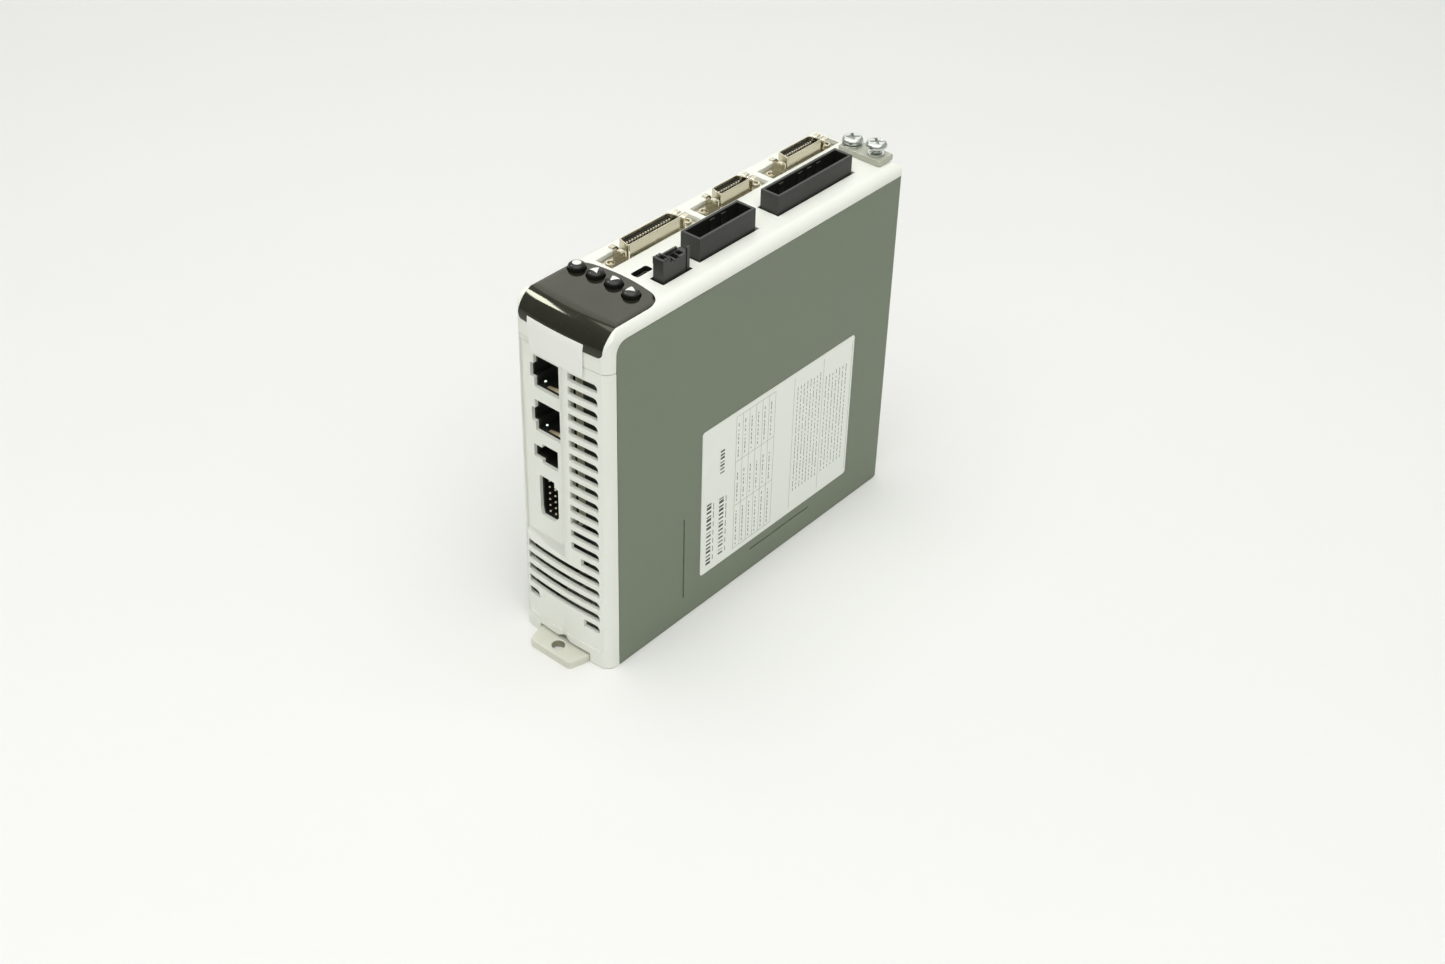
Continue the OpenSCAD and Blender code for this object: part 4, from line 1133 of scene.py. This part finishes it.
@dataclass
class Keypad:
    """Smoked window with its push buttons, their marks, and the strip of tape below."""

    form: NoseForm = NoseForm()
    window_edge: float = 0.12
    buttons: tuple[str, ...] = ("mode_button", "up_button", "down_button", "enter_button")
    button_r: float = 2.9
    foot: float = -5.0
    foot_edge: float = 0.2
    collar: Pair = (-3.0, -2.4)
    collar_width: float = 0.5
    shoulder: float = 1.0
    crown: float = 2.3
    dome_steps: int = 12
    mark_steps: tuple[int, int] = (48, 8)
    mark_lift: float = 0.015
    mark_thickness: float = 0.03
    disc_r: float = 1.45
    arrow: tuple[Pair, ...] = ((1.75, 0), (-1.15, 1.6), (-1.15, -1.6))
    tape_x: Pair = (-13.6, 10.8)
    tape_z: float = 117.5
    tape_height: float = 12.0
    tape_thickness: float = 0.10
    tape_gap: float = 0.03
    tape_slant: float = 1.4
    tape_curl: float = 0.12
    tape_steps: tuple[int, int] = (28, 16)

    def build(self) -> None:
        """Make the window, the buttons and the tape, and dress what lies under them."""
        Bench.copied("display_window", self.window_edge, Finishes.WINDOW, form=self.form)
        marks = (self._disc, self._arrow(0, 1), self._arrow(0, -1), self._arrow(1, 0))
        for name, mark in zip(self.buttons, marks):
            low, high = span(name)
            centre = Vector((*(low.xy + high.xy) / 2, self.form.height))
            button = Bench.lathe(name + "_piece", self._button_profile(), centre)
            Bench.hand_over(button, Finishes.BUTTON, name, body=name)
            Bench.hand_over(self._mark(name + "_mark", mark, centre), Finishes.MARK, body=name)
        tape = Bench.sheet("paper_tape", self._tape_spot, self.tape_steps, self.tape_thickness)
        Bench.hand_over(tape, Finishes.TAPE)
        Bench.dress(Finishes.BOARD, "keypad_board")
        Bench.dress(Finishes.INNER, "key_switches", "display_module")

    def _dome(self, radius: float) -> float:
        """Return the height of a button's dome above the front face at a radius."""
        share = min(radius / self.button_r, 1.0)
        return self.shoulder + (self.crown - self.shoulder) * math.sqrt(1 - share * share)

    def _button_profile(self) -> list[Pair]:
        """Return the profile of a button: foot, collar, side and dome.

        Returns:
            Radius and height of each point.
        """
        r, foot, edge, (low, high) = self.button_r, self.foot, self.foot_edge, self.collar
        wide = r + self.collar_width
        side = [(0, foot), (r - edge, foot), (r, foot + edge), (r, low), (wide, low), (wide, high), (r, high)]
        radii = [r * math.cos(QUARTER * k / self.dome_steps) for k in range(self.dome_steps)]
        return side + [(radius, self._dome(radius)) for radius in radii] + [(0, self.crown)]

    def _disc(self, share: float) -> Vector:
        """Return a point on the outline of the disc mark."""
        angle = 2 * math.pi * share
        return Vector((math.cos(angle), math.sin(angle))) * self.disc_r

    def _arrow(self, dx: int, dy: int) -> Callable[[float], Vector]:
        """Make the outline of a triangle mark.

        Args:
            dx: Pointing direction along X.
            dy: Pointing direction along Y.

        Returns:
            A function from a share of the outline to its point.
        """
        turned = [Vector((x * dx - y * dy, x * dy + y * dx)) for x, y in self.arrow]

        def outline(share: float) -> Vector:
            """Return a point on the triangle's outline."""
            k, part = divmod(share * 3 % 3, 1)
            return turned[int(k)].lerp(turned[(int(k) + 1) % 3], part)
        return outline

    def _mark(self, name: str, outline: Callable[[float], Vector], centre: Vector) -> Object:
        """Lay a printed mark on a button's dome.

        Args:
            name: Name of the piece.
            outline: The mark's outline.
            centre: Middle of the button on the front face.

        Returns:
            The piece.
        """
        def spot(u: float, v: float) -> Spot:
            """Return a point of the mark and its normal."""
            place = outline(u) * max(v, 1e-4)
            return centre + Vector((*place, self._dome(place.length) + self.mark_lift)), UP
        return Bench.sheet(name, spot, self.mark_steps, self.mark_thickness)

    def _tape_spot(self, u: float, v: float) -> Spot:
        """Give a point of the tape's inner face.

        Args:
            u: Share of its width.
            v: Share of its height, from its lower edge.

        Returns:
            The point and the outward normal.
        """
        left, right = self.tape_x
        x = left + (right - left) * u + self.tape_slant * (1 - v) * (1 - u)
        point, out = self.form.spot(x, self.tape_height * v, self.tape_z)
        curl = self.tape_curl * max(0.0, 1 - 5 * min(u, 1 - u)) ** 2 * (1 - v)
        return point + out * (self.tape_gap + curl), out


@dataclass
class RibbonPort:
    """One ribbon connector: drawn shell, insert and two rows of sprung contacts."""

    name: str
    ways: int
    middle: float
    line: float = -9.75
    pitch: float = 1.27
    foot: float = 133.1
    tip: float = 138.7
    row_gap: float = 1.2
    blade: Pair = (0.3, 0.46)
    curl: float = -0.15
    bead: float = 0.30
    bright_beads: float = 2.1
    rivet_in: float = 2.9
    rivet: tuple[Pair, ...] = ((0, -2.0), (1.05, -2.0), (1.05, -0.95), (0.85, -0.75), (0.4, -0.8), (0, -0.9))
    rivet_steps: int = 32
    eyelet_top: float = 135.4
    shell_edge: float = 0.10
    insert_edge: float = 0.14

    def build(self) -> None:
        """Make the shell, the insert and the contacts."""
        shell, insert, contacts = (f"{self.name}_{k}" for k in ("shell", "insert", "contacts"))
        Bench.copied(shell, self.shell_edge, Finishes.NICKEL)
        Bench.copied(insert, self.insert_edge, Finishes.PORT_AND_SHADE)
        count = self.ways // 2
        first = self.middle - (count - 1) / 2 * self.pitch
        rows = [Repeats.BLADES.grow(
            Finishes.GOLD, count=count, start=(self.line + side * self.row_gap, first, self.foot),
            step=(0, self.pitch, 0), turn=(0, 0, 0 if side > 0 else math.pi),
            size=(*self.blade, self.tip - self.foot), curl=self.curl, bead=self.bead) for side in (1, -1)]
        # Painted shade on the blades and a painted highlight on their beads.
        blades = Bench.hand_over(Bench.joined(contacts + "_piece", *rows), Finishes.SHADED_SHANK, contacts)
        Bench.paint(blades, Finishes.LIT_TIP, lambda m, n: m.z > self.tip - self.bright_beads * self.bead)
        low, high = span(shell)
        for place, y in (("near", low.y + self.rivet_in), ("far", high.y - self.rivet_in)):
            centre = (self.line, y, self.eyelet_top)
            rivet = Bench.lathe(f"{self.name}_rivet_{place}", self.rivet, centre, self.rivet_steps)
            Bench.hand_over(rivet, Finishes.NICKEL)


@dataclass
class SignalPorts:
    """Jacks and pin header of the connector end, and the ribbon connectors and data socket of the front."""

    ribbons: tuple[RibbonPort, ...] = (
        RibbonPort("large_io", 36, -22.4), RibbonPort("small_io", 20, 18.05),
        RibbonPort("feedback", 26, 55.25))
    jack_edge: float = 0.16
    jack_face: float = -72.2
    jack_heights: Pair = (108.7, 91.4)
    wires: int = 8
    wire_pitch: float = 1.02
    wire_root: Pair = (-2.2, 2.2)
    wire_lean: float = math.atan2(3.0, 8.0)
    wire_size: Triple = (0.34, 0.4, 8.2)
    wire_curl: float = -0.5
    wire_bead: float = 0.2
    spring_x: Pair = (-8.8, 5.6)
    spring_y: Pair = (0.4, 1.0)
    spring_drop: float = 5.84
    spring_twist: float = 0.75
    spring_thickness: float = 0.2
    spring_steps: tuple[int, int] = (16, 10)
    glint_spot: Pair = (-10.7, -70.65)
    glint_drop: float = 5.9
    lamp_rise: float = 1.0
    collar_r: float = 0.5
    glint_r: float = 0.42
    glint_steps: int = 6
    pin_lines: Pair = (-9.0, -6.46)
    pin_count: int = 6
    pin_middle: float = 59.1
    pin_pitch: float = 2.54
    pin_tip: float = -72.45
    pin_root: float = -65.7
    pin_width: float = 0.64
    pin_taper: float = 0.35
    bright_tip: float = 0.25
    socket_edge: float = 0.10
    core_edge: float = 0.08
    socket_core: tuple[tuple[Triple, Triple], ...] = (
        ((0.62, -42.38, 128.02), (3.28, -35.42, 130.4)), ((1.5, -42.0, 130.3), (2.3, -35.8, 132.6)),
        ((0.62, -42.38, 130.3), (0.8, -35.42, 133.4)), ((3.1, -42.38, 130.3), (3.28, -35.42, 133.4)),
        ((0.8, -35.6, 130.3), (3.1, -35.42, 133.4)), ((0.8, -42.38, 130.3), (3.1, -42.2, 133.4)))

    def build(self) -> None:
        """Make the ports of the connector end and the front."""
        for node in ("network_jack_in", "network_jack_out", "chain_jack", "pin_header"):
            Bench.copied(node, self.jack_edge, Finishes.PORT_AND_SHADE)
        Bench.hand_over(self._wires(), Finishes.GOLD, "network_contacts")
        # A painted highlight on the pins' tips and painted shade along their shanks.
        pins = Bench.hand_over(self._pins(), Finishes.LIT_TIP, "pin_header_pins")
        Bench.paint(pins, Finishes.SHADED_SHANK, lambda m, n: m.y > self.pin_tip + self.bright_tip)
        for k, z in enumerate(self.jack_heights):
            Bench.hand_over(self._spring(k, z), Finishes.LINING)
            # Painted highlight: a glowing dot for the glint in each jack, with its collar painted black.
            lamp = Bench.hand_over(self._glint_dot(k, z), Finishes.GLINT_GLOW)
            Bench.paint(lamp, Finishes.PORT_AND_SHADE, lambda m, n: m.z < z - self.glint_drop + self.lamp_rise)
        Bench.copied("data_socket", self.socket_edge, Finishes.NICKEL)
        Bench.hand_over(Bench.blocks("data_socket_core", self.socket_core, self.core_edge), Finishes.PORT_AND_SHADE)
        for ribbon in self.ribbons:
            ribbon.build()

    def _wires(self) -> Object:
        """Make the sloping wires of the two network jacks.

        Returns:
            The wires as one piece.
        """
        x, depth = self.wire_root
        below = (self.wires - 1) / 2 * self.wire_pitch
        return Bench.joined("network_contacts_piece", *(Repeats.BLADES.grow(
            Finishes.GOLD, count=self.wires, start=(x, self.jack_face + depth, z - below),
            step=(0, 0, self.wire_pitch), turn=(-QUARTER, 0, self.wire_lean), size=self.wire_size,
            curl=self.wire_curl, bead=self.wire_bead) for z in self.jack_heights))

    def _spring(self, k: int, z: float) -> Object:
        """Lay a twisted metal spring on the floor of a network jack.

        Args:
            k: Number of the jack.
            z: Height of its middle.

        Returns:
            The spring.
        """
        (x, length), (depth, width) = self.spring_x, self.spring_y

        def spot(u: float, v: float) -> Spot:
            """Return a point of the spring and its normal."""
            height = z - self.spring_drop + self.spring_twist * u * v
            return Vector((x + length * u, self.jack_face + depth + width * v, height)), UP
        return Bench.sheet(f"jack_shield_{k}", spot, self.spring_steps, self.spring_thickness)

    def _glint_dot(self, k: int, z: float) -> Object:
        """Turn the small glowing dot on the floor of a network jack, a painted highlight for a glint.

        Args:
            k: Number of the jack.
            z: Height of the jack's middle.

        Returns:
            The glowing dot.
        """
        r, rise, wide = self.glint_r, self.lamp_rise, self.collar_r
        turns = [QUARTER * t / self.glint_steps for t in range(self.glint_steps)]
        dome = [(r * math.cos(t), rise + r * math.sin(t)) for t in turns]
        profile = [(0, 0), (wide, 0), (wide, rise), *dome, (0, rise + r)]
        foot = (*self.glint_spot, z - self.glint_drop)
        return Bench.lathe(f"jack_lamp_{k}", profile, foot, 4 * self.glint_steps)

    def _pins(self) -> Object:
        """Make the pins of the header in the connector end.

        Returns:
            The pins as one piece.
        """
        first, second = self.pin_lines
        below = (self.pin_count - 1) / 2 * self.pin_pitch
        return Bench.joined("pin_header_pins_piece", Repeats.PINS.grow(
            Finishes.GOLD, count=self.pin_count, rows=len(self.pin_lines),
            start=(first, self.pin_root, self.pin_middle - below), step=(0, 0, self.pin_pitch),
            row_step=(second - first, 0, 0), turn=(QUARTER, 0, 0),
            width=self.pin_width, length=self.pin_root - self.pin_tip, tip=self.pin_taper))


@dataclass
class PowerPorts:
    """Power headers with their pins, and the safety plug with its header."""

    header_edge: float = 0.20
    socket_edge: float = 0.15
    plug_edge: float = 0.14
    wall: float = 1.0
    rim: float = 0.3
    pin_width: float = 1.2
    pin_foot: float = 130.0
    pin_tip: float = 138.8
    pin_taper: float = 0.9
    headers: tuple[tuple[str, int], ...] = (("motor_header", 5), ("mains_header", 7))

    def build(self) -> None:
        """Make the headers, their pins and the plug."""
        for node, ways in self.headers:
            header = Bench.copied(node, self.header_edge, Finishes.BLACK)
            # Painted shade: the walls inside the header are painted a darker black.
            Bench.paint(header, Finishes.PORT_AND_SHADE, self._cavity(node))
            Bench.hand_over(self._pins(node + "_pins", ways), Finishes.ZINC, node + "_pins")
        Bench.copied("safety_header", self.socket_edge, Finishes.PORT_AND_SHADE)
        Bench.copied("safety_plug", self.plug_edge, Finishes.BLACK, "safety_plug")

    def _cavity(self, node: str) -> Test:
        """Return the test that picks the faces inside a header, below its rim and its ribs, which are painted
        darker as shade.
        """
        low, high = span(node)
        return lambda m, n: (
            all(low[k] + self.wall < m[k] < high[k] - self.wall for k in (0, 1))
            and m.z < high.z - self.rim and n.z < FACING)

    def _pins(self, node: str, ways: int) -> Object:
        """Make the pins of one power header in the places of its CAD pins.

        Args:
            node: Name of the CAD pins.
            ways: Number of pins.

        Returns:
            The pins as one piece.
        """
        low, high = span(node)
        start = ((low.x + high.x) / 2, low.y + self.pin_width / 2, self.pin_foot)
        pitch = (high.y - low.y - self.pin_width) / (ways - 1)
        return Bench.joined(node + "_piece", Repeats.PINS.grow(
            Finishes.ZINC, count=ways, rows=1, start=start, step=(0, pitch, 0), width=self.pin_width,
            length=self.pin_tip - self.pin_foot, tip=self.pin_taper))


@dataclass
class EarthTerminal:
    """Earth bar, washers and its two screws."""

    bar_edge: float = 0.35
    washer_edge: float = 0.12
    head_edge: float = 0.12
    screws: tuple[tuple[str, float], ...] = (("left", 0.9), ("right", 11.2))
    screw_y: float = 72.0
    head_height: float = 1.8
    recess_r: float = 2.3
    recess_lip: float = 0.5
    core_r: float = 1.62
    thread_r: float = 2.0
    thread_foot: float = 0.35
    pitch: float = 0.7
    turns: float = 12.0
    head_fit: float = 0.01
    shank_fit: float = 0.1

    def build(self) -> None:
        """Make the bar, the washers and the screws."""
        Bench.copied("earth_bar", self.bar_edge, Finishes.BAR)
        Bench.copied("flat_washers", self.washer_edge, Finishes.ZINC)
        for side, x in self.screws:
            washer, screw = f"lock_washer_{side}", f"earth_screw_{side}"
            Bench.copied(washer, self.washer_edge, Finishes.ZINC, washer)
            low, high = span(screw)
            piece = Bench.copied(screw, self.head_edge, Finishes.ZINC, screw, reshape=self._shank(x, high.z))
            Bench.paint(piece, Finishes.RECESS, self._recess(x, high.z))
            thread = Repeats.THREAD.grow(
                Finishes.ZINC, start=(x, self.screw_y, low.z + self.thread_foot), radius=self.core_r,
                pitch=self.pitch, turns=self.turns, depth=self.thread_r - self.core_r)
            Bench.hand_over(Bench.joined(f"screw_thread_{side}", thread), Finishes.ZINC, body=screw)

    def _recess(self, x: float, top: float) -> Test:
        """Return the test that picks the faces of the cross recess in a screw's head."""
        return lambda m, n: (
            math.hypot(m.x - x, m.y - self.screw_y) < self.recess_r and m.z > top - self.head_height
            and (n.z < FACING or m.z < top - self.recess_lip))

    def _shank(self, x: float, top: float) -> Reshape:
        """Make the reshaping that draws a screw's shank in to the thread's core.

        Args:
            x: Place of the screw's axis.
            top: Height of the top of its head.

        Returns:
            A function from a corner to its new place.
        """
        axis = Vector((x, self.screw_y))

        def drawn_in(corner: Vector) -> Vector:
            """Draw a corner in where it lies on the shank.

            Args:
                corner: The corner.

            Returns:
                Its new place.
            """
            arm = corner.xy - axis
            under_head = corner.z < top - self.head_height + self.head_fit
            if under_head and arm.length < self.thread_r + self.shank_fit:
                corner.xy = axis + arm.normalized() * min(arm.length, self.core_r)
            return corner
        return drawn_in


@dataclass
class Innards:
    """Boards and heavy parts inside, as far as slots and window show them."""

    parts: tuple[tuple[Finish, tuple[str, ...]], ...] = (
        (Finishes.BOARD, ("control_board", "power_board")), (Finishes.CAN, ("bus_capacitors",)),
        (Finishes.INNER, ("power_module", "charge_relay")),
        (Finishes.WINDING, ("supply_transformer", "line_choke")), (Finishes.ZINC, ("board_spacers",)))

    def build(self) -> None:
        """Dress the carried-over parts."""
        for finish, nodes in self.parts:
            Bench.dress(finish, *nodes)


@dataclass(frozen=True)
class SoftLamp:
    """One rectangular lamp; its place, its aim and its size are in metres."""

    name: str
    spot: Triple
    aim: Triple
    size: Pair
    watts: float
    colour: Colour = (1.0, 1.0, 1.0)
    in_gloss: bool = True
    on_matt: bool = True

    def build(self) -> None:
        """Hang the lamp so that it faces its aim."""
        data = bpy.data.lights.new(self.name, "AREA")
        data.shape, data.energy, data.color = "RECTANGLE", self.watts, self.colour
        data.size, data.size_y = self.size
        lamp = placed(self.name, data)
        lamp.location = self.spot
        lamp.rotation_euler = (Vector(self.aim) - Vector(self.spot)).to_track_quat("-Z", "Y").to_euler()
        lamp.visible_glossy, lamp.visible_diffuse = self.in_gloss, self.on_matt


@dataclass
class Studio:
    """Camera, pale floor and soft light; its places and sizes are in metres."""

    spot: Triple = (0.36466, -0.43443, 0.46058)
    right: Triple = (0.75903, 0.65061, 0.02385)
    up: Triple = (-0.40852, 0.44743, 0.79556)
    back: Triple = (0.50693, -0.61361, 0.60540)
    lens: float = 48.88
    sensor: float = 36.0
    clip: Pair = (0.01, 100.0)
    floor_size: float = 30.0
    floor_drop: float = 0.00005
    floor_lift: float = 0.08
    floor: Finish = Finish("pale_floor", "white_plastic", srgb(233, 233, 231), 0.55, specular=0.2,
                           grain_scale=60, broad_scale=3.0, depth=0.0, mottle=0.008)
    sky: float = 0.50
    sky_low: float = 0.42
    sky_seen: float = 0.93
    near_share: float = 0.80
    tint: Colour = (0.985, 1.0, 0.945)
    lamps: tuple[SoftLamp, ...] = (
        SoftLamp("top_softbox", (0.14, -0.25, 1.57), (0.0, 0.0, 0.10), (1.8, 1.8), 21.3),
        SoftLamp("front_fill", (0.90, -1.10, 1.00), (0.0, 0.0, 0.08), (1.4, 1.4), 2.8, (1.0, 1.0, 0.90),
                 in_gloss=False),
        SoftLamp("back_softbox", (-0.75, 0.90, 0.95), (0.0, 0.0, 0.13), (1.2, 1.2), 4.0, on_matt=False),
        SoftLamp("side_strip", (-0.80, -0.24, 0.98), (0.0, -0.06, 0.13), (0.28, 0.17), 2.7, on_matt=False))

    def build(self) -> None:
        """Set up the camera, the floor and the lights."""
        bpy.context.scene.view_settings.view_transform = "Standard"
        self._camera()
        self._floor()
        self._world()
        for lamp in self.lamps:
            lamp.build()

    def _camera(self) -> None:
        """Stand the camera at the photograph's place."""
        data = bpy.data.cameras.new("camera")
        data.lens, data.sensor_width, data.sensor_fit = self.lens, self.sensor, "HORIZONTAL"
        data.clip_start, data.clip_end = self.clip
        camera = placed("camera", data)
        axes = Matrix((self.right, self.up, self.back)).transposed()
        camera.matrix_world = Matrix.Translation(self.spot) @ axes.to_4x4()
        bpy.context.scene.camera = camera

    def _floor(self) -> None:
        """Lay a plain pale floor, just under the mounting face."""
        bm = bmesh.new()
        bmesh.ops.create_grid(bm, x_segments=1, y_segments=1, size=self.floor_size / 2)
        mesh = bpy.data.meshes.new("floor")
        bm.to_mesh(mesh)
        bm.free()
        mesh.transform(Matrix.Translation((0, 0, -self.floor_drop)))
        material = self.floor.material()
        g = Graph(material.node_tree)
        rays = g.add("ShaderNodeLightPath").outputs
        mirrored = g.math("MAXIMUM", rays["Is Glossy Ray"], rays["Is Transmission Ray"])
        seen = g.math("MAXIMUM", rays["Is Camera Ray"], mirrored)
        shader = next(n for n in material.node_tree.nodes if n.type == "BSDF_PRINCIPLED")
        g.feed(shader.inputs["Emission Strength"], g.times(seen, self.floor_lift))
        mesh.materials.append(material)
        placed("floor", mesh)

    def _world(self) -> None:
        """Light the room softly, lower towards the horizon and behind the camera."""
        world = bpy.data.worlds.new("studio")
        bpy.context.scene.world = world
        world.use_nodes = True
        world.node_tree.nodes.clear()
        g = Graph(world.node_tree)
        towards = g.split(g.add("ShaderNodeTexCoord").outputs["Generated"])
        height = g.remap(towards["Z"], 0.0, 0.9, self.sky_low, self.sky)
        light = g.times(height, g.remap(towards["Y"], -0.7, 0.35, self.near_share))
        seen = g.add("ShaderNodeLightPath").outputs["Is Camera Ray"]
        unseen = g.times(light, g.math("SUBTRACT", 1.0, seen))
        level = g.math("ADD", unseen, g.times(seen, self.sky_seen))
        background = g.out("ShaderNodeBackground", {"Color": shade(self.tint), "Strength": level})
        g.add("ShaderNodeOutputWorld", {"Surface": background})


def main() -> None:
    """Build the studio and the drive, sub-assembly by sub-assembly."""
    logging.basicConfig(level=logging.INFO, format="%(name)s: %(message)s")
    for assembly in (Studio(), Housing(), Keypad(), SignalPorts(), PowerPorts(), EarthTerminal(), Innards()):
        LOG.info("building %s", type(assembly).__name__)
        assembly.build()


if __name__ == "__main__":
    main()
